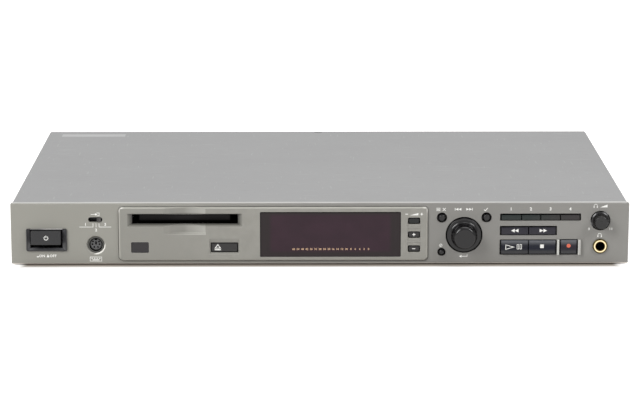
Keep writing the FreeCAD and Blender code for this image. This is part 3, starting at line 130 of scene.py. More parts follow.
def make_floor():
    """A pale floor that stays white and takes the deck's soft shadow, with a painted contact shadow near the
    deck.
    """
    mesh = bpy.data.meshes.new("floor")
    half = 6.0
    corners = [(-half, -half, 0), (half, -half, 0), (half, half, 0), (-half, half, 0)]
    mesh.from_pydata(corners, [], [(0, 1, 2, 3)])
    floor = add_object("floor", mesh)
    finish = Finish("pale_floor", 0.9)
    finish.shade("Emission Color", (1.0, 0.995, 0.985))
    deck_middle, deck_half = (0.0, 2.0), (202.0, 134.0)
    away = finish.math("MAXIMUM", finish.outside(deck_middle, deck_half, axes="XY"), 0.0)
    # Painted contact shadow: within a few millimetres of the deck the floor's colour turns a dark warm
    # brown.
    painted_contact_shadow = finish.spread(away, 1.5, 7.0, 1.0, 0.0)
    finish.color(finish.mix(painted_contact_shadow, (0.76, 0.75, 0.735), (0.25, 0.215, 0.18)))
    # The floor's glow fades near the deck, so the deck's shadow shows there; this adds to the painted
    # contact shadow.
    glow = finish.spread(away, 3.0, 14.0, 0.02, 0.66)
    finish.shade("Emission Strength", finish.times(seen_directly(finish.tree), glow))
    mesh.materials.append(finish.material)


# ---- Materials: every one is a node graph with its pattern fixed to the part ----

class Finish:
    """A node material under construction. Lengths are in millimetres of the part."""

    def __init__(self, name, roughness, metallic=0.0):
        self.material = bpy.data.materials.new(name)
        self.material.use_nodes = True
        self.tree = self.material.node_tree
        self.shader = self.tree.nodes["Principled BSDF"]
        self.shade("Metallic", metallic)
        self.shade("Roughness", roughness)
        self.where = self.node("TexCoord").outputs["Object"]

    def node(self, kind):
        """A new node of a kind."""
        return self.tree.nodes.new("ShaderNode" + kind)

    def put(self, value, socket):
        """Link a socket or set a number or colour."""
        if isinstance(value, bpy.types.NodeSocket):
            self.tree.links.new(value, socket)
        elif isinstance(value, tuple) and len(value) == 3 and socket.type == "RGBA":
            socket.default_value = value + (1.0,)
        else:
            socket.default_value = value

    def shade(self, name, value):
        """Give one of the shader's inputs a value."""
        self.put(value, self.shader.inputs[name])

    def color(self, value):
        self.shade("Base Color", value)

    def math(self, operation, first, second=0.0):
        node = self.node("Math")
        node.operation = operation
        self.put(first, node.inputs[0])
        self.put(second, node.inputs[1])
        return node.outputs[0]

    def times(self, first, *others):
        """The product of masks or numbers."""
        for other in others:
            first = self.math("MULTIPLY", first, other)
        return first

    def length(self, across, up):
        """The length of a line from its two parts."""
        squared = self.math("ADD", self.times(across, across), self.times(up, up))
        return self.math("SQRT", squared)

    def axis(self, name):
        """One coordinate of the part in millimetres."""
        node = self.node("SeparateXYZ")
        self.put(self.where, node.inputs[0])
        return self.times(node.outputs[name], 1.0 / MM)

    def noise(self, sizes, detail=2.0, seed=0.0):
        """Cloudy noise. The size of its clouds is one number, or one for each axis."""
        if not isinstance(sizes, tuple):
            sizes = (sizes, sizes, sizes)
        scaled = self.node("Mapping")
        scaled.inputs["Scale"].default_value = tuple(1.0 / (size * MM) for size in sizes)
        self.put(self.where, scaled.inputs["Vector"])
        node = self.node("TexNoise")
        node.noise_dimensions = "4D"
        node.inputs["Scale"].default_value = 1.0
        node.inputs["Detail"].default_value = detail
        node.inputs["W"].default_value = seed
        self.put(scaled.outputs[0], node.inputs["Vector"])
        return node.outputs["Fac"]

    def spread(self, value, low, high, to_low=0.0, to_high=1.0, smooth=True):
        """Carry a value from one range to another, held at the ends."""
        node = self.node("MapRange")
        node.interpolation_type = "SMOOTHSTEP" if smooth else "LINEAR"
        node.inputs["From Min"].default_value = low
        node.inputs["From Max"].default_value = high
        node.inputs["To Min"].default_value = to_low
        node.inputs["To Max"].default_value = to_high
        self.put(value, node.inputs["Value"])
        return node.outputs["Result"]

    def ramp(self, name, low, high, to_low=0.0, to_high=1.0, smooth=True):
        """Run from one value to another between two places along an axis."""
        return self.spread(self.axis(name), low, high, to_low, to_high, smooth)

    def clouds(self, value, to_low=0.0, to_high=1.0):
        """Stretch noise, which stays near its middle, over a range."""
        return self.spread(value, 0.3, 0.7, to_low, to_high)

    def mix(self, share, first, second):
        node = self.node("Mix")
        node.data_type = "RGBA"
        self.put(share, node.inputs["Factor"])
        self.put(first, node.inputs[6])
        self.put(second, node.inputs[7])
        return node.outputs[2]

    def over(self, body, areas):
        """Lay areas, given as a mask's function and a colour, over a colour."""
        for make_mask, area_color in areas:
            body = self.mix(make_mask(self), body, area_color)
        return body

    def varied(self, color, amount, sizes, seed=0.0):
        """A colour that drifts a little over the surface."""
        darker = tuple(part * (1.0 - amount) for part in color)
        lighter = tuple(part * (1.0 + amount) for part in color)
        return self.mix(self.clouds(self.noise(sizes, 3.0, seed)), darker, lighter)

    def uneven(self, sizes, detail, low, high, seed=2.0):
        """Roughness that drifts between two values over the surface."""
        self.shade("Roughness", self.clouds(self.noise(sizes, detail, seed), low, high))

    def bump(self, height, deep, strength):
        """Small relief; deep is the height of a step from 0 to 1, in millimetres."""
        node = self.node("Bump")
        node.inputs["Distance"].default_value = deep * MM
        node.inputs["Strength"].default_value = strength
        self.put(height, node.inputs["Height"])
        self.shade("Normal", node.outputs["Normal"])

    def edges(self, radius, share):
        """A share along the part's outer and inner edges, 0 on its flat faces."""
        bevel = self.node("Bevel")
        bevel.samples = 4
        bevel.inputs["Radius"].default_value = radius * MM
        geometry = self.node("NewGeometry")
        dot = self.node("VectorMath")
        dot.operation = "DOT_PRODUCT"
        self.put(bevel.outputs[0], dot.inputs[0])
        self.put(geometry.outputs["Normal"], dot.inputs[1])
        return self.times(self.spread(dot.outputs["Value"], 0.99, 0.85), share)

    def band(self, name, low, high, soft=0.05):
        """1 between two places along an axis."""
        return self.times(self.ramp(name, low - soft, low + soft),
                          self.ramp(name, high - soft, high + soft, 1.0, 0.0))

    def window(self, across, up, soft=0.05, axes="XZ"):
        """1 inside a rectangle given by its ends along two axes."""
        return self.times(self.band(axes[0], *across, soft), self.band(axes[1], *up, soft))

    def outside(self, middle, half, give=1.0, axes="XZ"):
        """How far a point lies outside a rectangle; give stretches the part along the first axis."""
        across, up = (self.math("SUBTRACT", self.distance(axes[i], middle[i]), half[i])
                      for i in range(2))
        return self.math("MAXIMUM", self.math("DIVIDE", across, give), up)

    def distance(self, name, place):
        """How far a point lies from a place along an axis."""
        return self.math("ABSOLUTE", self.math("SUBTRACT", self.axis(name), place))

    def ring_distance(self, middle):
        """How far a point lies from a line that runs from front to back through (x, z)."""
        across = self.math("SUBTRACT", self.axis("X"), middle[0])
        up = self.math("SUBTRACT", self.axis("Z"), middle[1])
        return self.length(across, up)

    def ring(self, away, inner, outer):
        """1 between two distances. Each is given as the start and end of its soft edge."""
        return self.times(self.spread(away, *inner), self.spread(away, *outer, 1.0, 0.0))


def paint(name, color, worn, areas=()):
    """Baked paint on metal: fine orange peel, faint clouding, and paler where it is rubbed."""
    finish = Finish(name, 0.46)
    body = finish.varied(color, 0.025, 60.0)
    body = finish.mix(finish.edges(0.5, 0.55), body, worn)
    finish.color(finish.over(body, areas))
    finish.uneven(9.0, 4.0, 0.41, 0.52)
    finish.bump(finish.noise(0.35, 2.0, 5.0), 0.012, 0.5)
    return finish


def cover_paint():
    """The lid's grey paint with hairline scuffs, a pale blank strip near the back, and painted shade inside
    a small hole.
    """
    finish = Finish("cover_paint", 0.5)
    body = finish.varied((0.250, 0.250, 0.251), 0.018, (150.0, 110.0, 60.0))
    scuffs = ((3.0, (26.0, 1.6, 4.0), 0.635, 0.25, 0.42), (7.0, (1.8, 18.0, 4.0), 0.65, 0.30, 0.40),
              (11.0, (16.0, 2.2, 4.0), 0.64, 0.25, 0.14), (5.0, (3.0, 3.0, 4.0), 0.68, 0.30, 0.13))
    for seed, sizes, low, share, tone in scuffs:
        scuff = finish.spread(finish.noise(sizes, 2.0, seed), low, low + 0.04, 0.0, share)
        body = finish.mix(scuff, body, (tone, tone, tone))
    body = finish.mix(finish.edges(0.6, 0.5), body, (0.42, 0.42, 0.41))
    strip = finish.window((-202.9, -152.9), (115.2, 125.2), 0.15, "XY")
    body = finish.mix(strip, body, finish.varied((0.385, 0.385, 0.385), 0.03, (8.0, 3.0, 3.0)))
    body = finish.mix(cover_hole(finish), body, (0.01, 0.01, 0.01))
    finish.color(body)
    finish.uneven((90.0, 60.0, 30.0), 2.0, 0.50, 0.53)
    finish.bump(finish.noise(0.5, 2.0, 5.0), 0.012, 0.4)
    return finish


def plastic(name, color, roughness, worn=None, grain=0.12, deep=0.006, areas=(), specular=0.5):
    """Moulded plastic: a fine eroded texture, faint handling gloss and softer, paler edges."""
    finish = Finish(name, roughness)
    finish.shade("Specular IOR Level", specular)
    body = finish.over(finish.varied(color, 0.05, 6.0), areas)
    if worn:
        body = finish.mix(finish.edges(0.35, 0.6), body, worn)
    finish.color(body)
    finish.uneven(4.0, 4.0, roughness - 0.06, roughness + 0.08)
    finish.bump(finish.noise(grain, 2.0, 5.0), deep, 0.6)
    return finish


def metal(name, color, roughness, along=(0.15, 8.0, 0.15), areas=()):
    """Bare or plated metal with drawn or brushed lines."""
    finish = Finish(name, roughness, 1.0)
    seed = 4.0
    finish.color(finish.over(finish.varied(color, 0.08, along, seed), areas))
    lines = finish.noise(along, 3.0, seed)
    finish.shade("Roughness", finish.clouds(lines, roughness - 0.05, roughness + 0.08))
    finish.bump(lines, 0.004, 0.4)
    return finish


# ---- Masks: where a finish is worn, dirty or of another colour, and where light or shade is painted ----

def grade(axis, low, high, smooth=True):
    """A mask that runs from 0 to 1 between two places along an axis."""
    return lambda finish: finish.ramp(axis, low, high, smooth=smooth)


# Painted shade: the panel is a shade darker right of the power button, as the light from the left falls off;
# painted light makes it a little lighter again at its right end.
panel_right_painted_shade, panel_end_painted_light = grade("X", -170.0, 20.0), grade("X", 110.0, 200.0)
# The panel's lower front edge is painted pale and warm: a painted reflection of the floor.
panel_foot_reflection = grade("Z", 1.7, 1.3)
# The fascia's left end is a shade darker than its middle.
fascia_left = grade("X", -60.0, -115.0)
# The right half of the input lever is rubbed paler, and that of the four-key strip is greyer.
lever_half, strip_right = grade("X", -153.9, -153.5), grade("X", 146.0, 176.0, smooth=False)
# A transport key is painted lighter at its upper and its lower part: a painted sheen on its dished face.
key_top_sheen, key_foot_sheen = grade("Z", 13.3, 17.3), grade("Z", 11.7, 9.2)


def cover_hole(finish):
    """Painted shade: the inside of the small hole near the lid's rear edge, painted dark."""
    return finish.times(finish.ramp("Z", 42.85, 42.95, 1.0, 0.0),
                        finish.window((-3.3, 3.3), (130.7, 133.9), 0.1, "XY"))


def rubbed_top(finish):
    """The back half of the panel's upper edge: paint rubbed almost bare, with painted light where its top
    face catches the light.
    """
    back = finish.ramp("Y", FACE_Y + 1.0, FACE_Y + 2.2)
    worn = finish.spread(finish.noise((45.0, 2.0, 2.0), 3.0, 9.0), 0.35, 0.6, 0.6, 1.0)
    return finish.times(finish.ramp("Z", 43.6, 43.8), back, worn)


def guard_faces(finish):
    """Painted highlights on the two guards beside the record key."""
    proud = finish.ramp("Y", FACE_Y - 0.4, FACE_Y - 0.2, 1.0, 0.0)
    return finish.times(proud, finish.band("X", 160.0, 190.0))


def guard_right(finish):
    """The outer guard, with a fainter painted highlight than the one beside the stop key."""
    return finish.times(guard_faces(finish), finish.ramp("X", 180.2, 180.9))


def dusty_tray(finish):
    """The hollow round the power button, painted lighter to lift the shade that falls in it."""
    return finish.times(finish.window((-203.6, -176.9), (11.1, 26.0), 0.3),
                        finish.ramp("Y", FACE_Y - 1.15, FACE_Y - 0.8))


def bezel_crest(finish):
    """A painted highlight along the top edge of the power bezel, fainter at its left end."""
    return finish.times(finish.band("X", -201.3, -179.2, 0.4), finish.ramp("Z", 25.7, 25.85),
                        finish.ramp("X", -196.0, -190.0, 0.5, 1.0))


def slot_throat(finish):
    """Painted shade on the slot's sloping sides, deeper towards the opening."""
    return finish.spread(finish.outside(SLOT_MIDDLE, SLOT_HALF, 2.2), 0.1, 1.5, 1.0, 0.0, False)


def fascia_rim(finish):
    """A painted highlight on the rounded edge all round the fascia."""
    return finish.spread(finish.outside(FASCIA_MIDDLE, FASCIA_HALF), 0.1, 0.7)


def fascia_corners(finish):
    """The fascia's two upper corners, where the painted highlight is brightest."""
    ends = finish.spread(finish.distance("X", FASCIA_MIDDLE[0]), 103.0, 106.0)
    return finish.times(fascia_rim(finish), ends, finish.ramp("Z", 36.5, 40.0))


def scoop_left(finish):
    """Painted shade on the left part of the thumb scoop."""
    return finish.times(finish.window((-104.5, -93.0), (22.3, 42.0), 1.5),
                        finish.ramp("Y", FACE_Y - 1.5, FACE_Y - 1.2))


def scoop_lip(finish):
    """A painted highlight on the thumb scoop's lower edge, brightest on the right."""
    return finish.times(finish.ramp("X", -104.0, -84.0, 0.15, 1.0, False),
                        finish.window((-106.0, -79.4), (22.0, 23.7), 0.2))


def scoop_right(finish):
    """Painted light on the right part of the thumb scoop."""
    return finish.times(finish.ramp("X", -95.0, -80.5, smooth=False),
                        finish.window((-96.0, -79.6), (22.3, 42.0), 0.1))


def socket_rim(finish):
    """A painted highlight on the lower right of the keyboard socket's rim."""
    ring = finish.ring(finish.ring_distance(KEYBOARD), (5.7, 5.9), (6.6, 6.9))
    slant = finish.math("SUBTRACT", finish.axis("X"), finish.axis("Z"))
    return finish.times(ring, finish.spread(slant, -166.2, -163.4))


def flap_face(finish):
    """The flap's middle, greyer towards its hinge; its ends stay black."""
    return finish.times(finish.band("X", -125.6, -62.6, 0.6),
                        finish.ramp("Z", 30.8, 35.8, smooth=False))


def ring_bore(finish):
    """Painted shade on the inside of the phones ring."""
    return finish.spread(finish.ring_distance(PHONES), 3.25, 3.5, 1.0, 0.0)


def ring_crest(finish):
    """A painted highlight on the round top of the phones ring."""
    return finish.ring(finish.ring_distance(PHONES), (3.4, 3.8), (4.0, 4.35))


def ring_rim(finish):
    """The outer edge of the phones ring, darker."""
    return finish.spread(finish.ring_distance(PHONES), 4.15, 4.5)


def inlet_blades(finish):
    """The three bright blades inside the mains inlet."""
    low, high = (18.9, 23.1), (22.9, 27.1)
    blades = 0.0
    for across, up in (((-192.1, -189.9), low), ((-178.1, -175.9), low), ((-185.1, -182.9), high)):
        blades = finish.math("ADD", blades, finish.window(across, up))
    return finish.times(blades, finish.ramp("Y", 121.2, 121.4))


# ---- Finishes of single parts ----

def display_window_finish():
    """Smoked acrylic: a dark frame, the display's faint plum field behind it, and a painted shadow along its
    top edge.
    """
    finish = Finish("window_smoke", 0.06)
    finish.shade("Specular IOR Level", 0.2)
    field = finish.window((-34.5, 49.0), (9.5, 36.0), 1.8)
    plum = finish.varied((0.0265, 0.0100, 0.0180), 0.10, (18.0, 18.0, 12.0))
    body = finish.mix(field, (0.0180, 0.0118, 0.0130), plum)
    # Painted shadow along the window's top edge.
    finish.color(finish.mix(finish.ramp("Z", 36.9, 37.3), body, (0.006, 0.001, 0.001)))
    finish.uneven(20.0, 4.0, 0.04, 0.12)
    return finish


def socket_finish(name, middle, shell, core, radius, hollow):
    """A metal shell round a plastic core, with painted shade darkening the shell's outer edge.

    Painted shade makes the core's own edge black, and its holes too beyond the hollow, a depth behind the
    panel's face.
    """
    finish = Finish(name, 0.35)
    away = finish.ring_distance(middle)
    inside = finish.spread(away, radius - 0.03, radius + 0.03, 1.0, 0.0)
    # Painted shade: the shell darkens at its outer edge, and the core's edge and deep holes are painted
    # black.
    dark = tuple(part * 0.3 for part in shell)
    body = finish.mix(finish.spread(away, 5.3, 5.5), finish.varied(shell, 0.08, 2.0), dark)
    holes = finish.ramp("Y", FACE_Y + hollow, FACE_Y + hollow + 0.1)
    black = finish.math("MAXIMUM", holes, finish.spread(away, radius - 0.8, radius - 0.6))
    finish.color(finish.mix(inside, body, finish.mix(black, core, BLACK)))
    finish.shade("Metallic", finish.math("SUBTRACT", 1.0, inside))
    finish.uneven(1.0, 3.0, 0.26, 0.42)
    return finish


def xlr_finish():
    """Nickel flanges round black cores, four in a row."""
    finish = Finish("xlr_nickel", 0.35)
    across = finish.math("PINGPONG", finish.math("SUBTRACT", finish.axis("X"), XLR_X), XLR_STEP / 2)
    up = finish.math("SUBTRACT", finish.axis("Z"), XLR_Z)
    core = finish.spread(finish.length(across, up), 10.25, 10.35, 1.0, 0.0)
    finish.color(finish.mix(core, finish.varied((0.42, 0.42, 0.41), 0.06, 3.0), (0.008, 0.008, 0.009)))
    finish.shade("Metallic", finish.math("SUBTRACT", 1.0, core))
    finish.uneven((0.3, 6.0, 0.3), 3.0, 0.26, 0.42)
    return finish


def phono_finish():
    """Gold barrels on coloured collars: the upper row white, the lower row red."""
    finish = Finish("phono_gold", 0.28)
    collar = finish.ramp("Y", 137.02, 137.06, 1.0, 0.0)
    row = finish.ramp("Z", 21.9, 22.1)
    gold = finish.varied((0.75, 0.58, 0.26), 0.08, 1.0)
    finish.color(finish.mix(collar, gold, finish.mix(row, (0.45, 0.02, 0.02), (0.62, 0.62, 0.60))))
    finish.shade("Metallic", finish.math("SUBTRACT", 1.0, collar))
    finish.uneven(1.0, 3.0, 0.24, 0.40)
    return finish


def board_finish(name):
    """Green board with dark parts standing on it."""
    finish = Finish(name, 0.4)
    top = 9.7
    mask = finish.varied((0.02, 0.10, 0.035), 0.25, 1.2)
    parts = finish.varied((0.03, 0.03, 0.032), 0.2, 3.0)
    finish.color(finish.mix(finish.ramp("Z", top - 0.05, top + 0.05), mask, parts))
    return finish


def front_board_finish():
    """Dark green board; the slide switch behind the input slot is black."""
    finish = Finish("board_front", 0.4)
    switch = finish.window((-170.0, -145.0), (25.0, 45.0))
    mask = finish.varied((0.007, 0.020, 0.010), 0.25, 1.2)
    finish.color(finish.mix(switch, mask, (0.004, 0.004, 0.0045)))
    finish.uneven(2.0, 3.0, 0.35, 0.5)
    return finish


def ink(name, color):
    """Screen-printed ink: a slightly uneven film."""
    finish = Finish(name, 0.5)
    finish.color(finish.varied(color, 0.05, 0.8))
    finish.uneven(0.6, 2.0, 0.42, 0.6, 3.0)
    return finish.material


def case_finishes():
    """The panel, the fascia, the sheet metal, the screws and the feet."""
    panel_areas = ((panel_right_painted_shade, (0.199, 0.194, 0.182)), (panel_end_painted_light, (0.217, 0.212, 0.199)),
                   (rubbed_top, (0.55, 0.55, 0.53)), (guard_faces, (0.52, 0.52, 0.49)),
                   (guard_right, (0.36, 0.355, 0.335)), (panel_foot_reflection, (0.66, 0.61, 0.55)),
                   (socket_rim, (0.72, 0.71, 0.66)))
    fascia_areas = ((fascia_left, (0.220, 0.215, 0.193)), (scoop_left, (0.205, 0.200, 0.180)),
                    (scoop_right, (0.315, 0.310, 0.285)), (scoop_lip, (0.36, 0.355, 0.325)),
                    (fascia_rim, (0.35, 0.345, 0.31)), (fascia_corners, (0.62, 0.61, 0.57)),
                    (slot_throat, (0.045, 0.043, 0.036)))
    return {
        "front_panel": paint("panel_paint", (0.250, 0.245, 0.218), (0.38, 0.38, 0.35), panel_areas),
        "centre_fascia": plastic(
            "fascia_moulding", (0.236, 0.230, 0.207), 0.36, (0.40, 0.39, 0.36), 0.2, 0.004, fascia_areas),
        "rear_panel": paint("rear_paint", (0.16, 0.16, 0.155), (0.3, 0.3, 0.3)),
        "top_cover": cover_paint(),
        "base_pan": metal("zinc_sheet", (0.46, 0.47, 0.48), 0.42, (6.0, 0.4, 6.0)),
        "cover_screws": metal("screw_steel", (0.30, 0.30, 0.31), 0.35, (1.0, 1.0, 1.0)),
        "feet": plastic("foot_rubber", (0.018, 0.018, 0.020), 0.8, None, 0.3, 0.02),
    }


def front_finishes():
    """The flap, the windows, the power button, the lever and the knobs."""
    knob = plastic("knob_plastic", (0.0024, 0.0019, 0.0026), 0.13, (0.02, 0.02, 0.02), 0.14, 0.0015,
                   specular=0.38)
    finishes = dict.fromkeys(("menu_button", "yes_button", "clear_button", "jog_dial"), knob)
    finishes.update({
        # The flap is painted near black and without gloss: painted shade standing in for the shade inside
        # the slot.
        "slot_flap": plastic(
            "flap_plastic", (0.0008, 0.0008, 0.0006), 0.5,
            areas=((flap_face, (0.034, 0.032, 0.033)),), specular=0.0),
        "display_window": display_window_finish(),
        "sensor_window": plastic(
            "sensor_filter", (0.0085, 0.0062, 0.0088), 0.15, None, 2.0, 0.001, specular=0.4),
        "power_bezel": plastic(
            "bezel_plastic", (0.016, 0.016, 0.0175), 0.40, (0.06, 0.06, 0.065),
            areas=((dusty_tray, (0.064, 0.064, 0.068)), (bezel_crest, (0.36, 0.355, 0.35)))),
        "power_button": plastic(
            "power_plastic", (0.0060, 0.0060, 0.0072), 0.38, (0.05, 0.05, 0.055), specular=0.45),
        "input_lever": plastic(
            "lever_grey", (0.022, 0.020, 0.018), 0.4, (0.08, 0.08, 0.08),
            areas=((lever_half, (0.045, 0.043, 0.041)),)),
        "level_knob": plastic(
            "level_plastic", (0.0020, 0.0016, 0.0020), 0.25, (0.02, 0.02, 0.02), 0.14, 0.0015,
            specular=0.44),
    })
    return finishes


def key_finishes():
    """The small flat keys, and the larger stop, play and record keys."""
    finishes = {}
    for label, color, areas, names in (
            ("plain", (0.0040, 0.0052, 0.0056), (), ("speed_on_button",)),
            ("adjust", (0.0185, 0.0170, 0.0170), (),
             ("eject_button", "speed_plus_button", "speed_minus_button")),
            ("search", (0.0085, 0.0072, 0.0135), (), ("rewind_key", "forward_key")),
            ("strip", (0.0055, 0.0100, 0.0090), ((strip_right, (0.0200, 0.0165, 0.0170)),),
             ("function_key_1", "function_key_2", "function_key_3", "function_key_4"))):
        finish = plastic(label + "_key_plastic", color, 0.36, (0.035, 0.035, 0.037),
                         areas=areas, specular=0.34)
        finishes.update(dict.fromkeys(names, finish))
    # Painted sheen on the stop, play and record keys.
    painted_sheen = (key_top_sheen, (0.100, 0.103, 0.113)), (key_foot_sheen, (0.038, 0.038, 0.040))
    for name, color in (("stop_key", (0.0035, 0.0048, 0.0135)), ("play_key", (0.0015, 0.0020, 0.0085)),
                        ("record_key", (0.0120, 0.0095, 0.0165))):
        finishes[name] = plastic(name + "_plastic", color, 0.2, (0.045, 0.05, 0.065), 0.3, 0.002,
                                 painted_sheen, 0.20)
    return finishes


def socket_finishes():
    """The sockets on the front and the back."""
    ring_areas = ((ring_crest, (0.86, 0.76, 0.50)), (ring_bore, (0.05, 0.020, 0.006)),
                  (ring_rim, (0.085, 0.068, 0.030)))
    return {
        "keyboard_socket": socket_finish(
            "keyboard_shell", KEYBOARD, (0.085, 0.085, 0.08), (0.056, 0.056, 0.058), 4.2, 2.4),
        "phones_jack": socket_finish(
            "jack_black", PHONES, (0.05, 0.05, 0.05), (0.010, 0.004, 0.002), 3.6, 0.0),
        "phones_ring": metal("gold_ring", (0.52, 0.36, 0.14), 0.20, (1.0, 1.0, 1.0), ring_areas),
        "mains_inlet": plastic(
            "inlet_black", (0.006, 0.006, 0.0065), 0.45, (0.02, 0.02, 0.02),
            areas=((inlet_blades, (0.45, 0.44, 0.40)),)),
        "xlr_sockets": xlr_finish(),
        "phono_sockets": phono_finish(),
    }


def inside_finishes():
    """The drive, the boards, the motors and other plain black or bare metal parts."""
    finishes = {
        "front_board": front_board_finish(),
        "display_tube": plastic("display_glass", (0.02, 0.03, 0.03), 0.1),
        "mains_transformer": metal("core_steel", (0.20, 0.19, 0.17), 0.6),
        "power_supply_board": board_finish("board_supply"),
        "main_board": board_finish("board_main"),
        "optical_sled": plastic("lens_sled", (0.03, 0.03, 0.032), 0.5),
    }
    for finish, names in (
            (plastic("socket_black", (0.006, 0.006, 0.0065), 0.45, (0.02, 0.02, 0.02)),
             ("power_switch", "encoder_rotor", "turntable", "optical_sockets")),
            (metal("drive_steel", (0.47, 0.48, 0.49), 0.35),
             ("drive_frame", "cartridge_holder", "load_slider", "head_arm")),
            (metal("shaft_steel", (0.58, 0.58, 0.59), 0.25), ("jog_shaft", "guide_rods")),
            (plastic("gear_acetal", (0.76, 0.75, 0.69), 0.4), ("loading_gear", "sled_pinion")),
            (metal("motor_can", (0.43, 0.43, 0.44), 0.3),
             ("encoder_body", "level_potentiometer", "loading_motor", "sled_motor", "spindle_motor"))):
        finishes.update(dict.fromkeys(names, finish))
    return finishes


def dress_nodes():
    """Give every carried-over solid its finish."""
    finishes = {}
    for group in (case_finishes(), front_finishes(), key_finishes(), socket_finishes(), inside_finishes()):
        finishes.update(group)
    for name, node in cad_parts.items():
        for slot in node.material_slots:
            slot.material = finishes[name].material
    return finishes


# ---- Turned controls: they stand for their CAD solids, with finer and softer edges ----

def rounded(corners):
    """The points of a turned outline given by (radius, height, rounding) corners.

    A point just beyond each end of an arc keeps the surface beside it flat in smooth shading.
    """
    steps, beyond = 8, 0.08
    result = []
    for i, (radius, height, rounding) in enumerate(corners):
        here = Vector((radius, height))
        if not rounding:
            result.append(here)
            continue
        before = (Vector(corners[i - 1][:2]) - here).normalized()
        after = (Vector(corners[i + 1][:2]) - here).normalized()
        half = before.angle(after) / 2
        reach = rounding / math.tan(half)
        middle = here + (before + after).normalized() * (rounding / math.sin(half))
        start, end = here + before * reach - middle, here + after * reach - middle
        turn = start.angle_signed(end)
        result.append(here + before * (reach + beyond))
        for step in range(steps + 1):
            result.append(middle + Matrix.Rotation(-turn * step / steps, 2) @ start)
        result.append(here + after * (reach + beyond))
    return result


def revolved(points, steps):
    """A closed mesh of revolution about the Z axis through (radius, height) points."""
    build = bmesh.new()
    angles = [2 * math.pi * i / steps for i in range(steps)]
    rings = []
    for radius, height in points:
        if radius < 1e-6:
            rings.append([build.verts.new((0.0, 0.0, height * MM))] * steps)
            continue
        places = [(radius * math.cos(angle), radius * math.sin(angle)) for angle in angles]
        rings.append([build.verts.new((x * MM, y * MM, height * MM)) for x, y in places])
    for near, far in zip(rings, rings[1:]):
        for i in range(steps):
            j = (i + 1) % steps
            build.faces.new(list(dict.fromkeys((near[i], near[j], far[j], far[i]))))
    bmesh.ops.recalc_face_normals(build, faces=build.faces[:])
    return build


def add_piece(name, build, body, material, smooth=True):
    """Turn a bmesh into an object that moves with a body."""
    mesh = bpy.data.meshes.new(name)
    build.to_mesh(mesh)
    build.free()
    if smooth:
        mesh.shade_smooth()
        mesh.set_sharp_from_angle(angle=math.radians(32))
    mesh.materials.append(material)
    piece = add_object(name, mesh)
    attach(piece, body)
    return piece


def facing(place, direction):
    """The transform that stands a piece made along Z on a place, in millimetres, along a direction."""
    turn = Vector(direction).to_track_quat("Z", "Y").to_matrix().to_4x4()
    return Matrix.Translation(Vector(place) * MM) @ turn


def turn_dial(material):
    """The jog dial: a skirt just proud of the panel, a hollow flank and a flat, soft-edged nose."""
    nose, skirt, back = 10.5, 0.5, -1.2
    roof = nose - 2.0
    build = revolved(rounded((
        (0.0, nose, 0.0), (7.6, nose, 2.1), (8.7, skirt, 2.4), (12.0, skirt, 0.5), (12.0, back, 0.0),
        (8.0, back, 0.0), (7.0, roof, 0.0), (5.0, roof, 0.0), (5.0, 1.0, 0.0),
        (3.0, 1.0, 0.0), (3.0, roof, 0.0), (0.0, roof, 0.0))), 128)
    build.transform(facing((DIAL[0], FACE_Y, DIAL[1]), (0, -1, 0)))
    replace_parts(add_piece("jog_dial_turned", build, "jog_dial", material), "jog_dial")


def cross_recess(wide, long, low, high):
    """A closed plus-shaped prism, the tool that sinks a screw's recess."""
    build = bmesh.new()
    near, far = wide / 2, long / 2
    corners = [(near, near), (far, near), (far, -near)]
    for i in range(9):
        x, y = corners[i]
        corners.append((y, -x))
    rings = [[build.verts.new((x * MM, y * MM, z * MM)) for x, y in corners] for z in (low, high)]
    for ring in rings:
        build.faces.new(ring)
    for i in range(len(corners)):
        j = (i + 1) % len(corners)
        build.faces.new((rings[0][i], rings[0][j], rings[1][j], rings[1][i]))
    bmesh.ops.recalc_face_normals(build, faces=build.faces[:])
    return build


def screw_mesh(radius, high, shank_radius, shank):
    """A pan-headed screw standing on the origin, with a cross recess in its head."""
    angles = [math.radians(angle) for angle in range(0, 90, 15)]
    dome = [(radius * math.cos(angle), high * (0.35 + 0.65 * math.sin(angle))) for angle in angles]
    stem = [(0.0, -shank), (shank_radius, -shank), (shank_radius, 0.0), (radius, 0.0)]
    holders = []
    for label, build in (("screw", revolved(stem + dome + [(0.0, high)], 36)),
                         ("recess", cross_recess(radius * 0.26, radius * 1.05, high * 0.3, high * 2))):
        mesh = bpy.data.meshes.new(label)
        build.to_mesh(mesh)
        build.free()
        holders.append(add_object(label, mesh))
    cut = holders[0].modifiers.new("cut", "BOOLEAN")
    cut.operation = "DIFFERENCE"
    cut.solver = "EXACT"
    cut.object = holders[1]
    shown = holders[0].evaluated_get(bpy.context.evaluated_depsgraph_get())
    result = bpy.data.meshes.new_from_object(shown)
    for holder in holders:
        mesh = holder.data
        bpy.data.objects.remove(holder)
        bpy.data.meshes.remove(mesh)
    return result


def add_screws(name, mesh, places, material):
    """Copies of one screw in one piece, each turned a little differently."""
    build = bmesh.new()
    for i, (place, direction) in enumerate(places):
        before = len(build.verts)
        build.from_mesh(mesh)
        build.verts.ensure_lookup_table()
        spin = Matrix.Rotation(math.radians(17 + 53 * i), 4, "Z")
        bmesh.ops.transform(build, matrix=facing(place, direction) @ spin, verts=build.verts[before:])
    bpy.data.meshes.remove(mesh)
    return add_piece(name, build, "chassis", material)


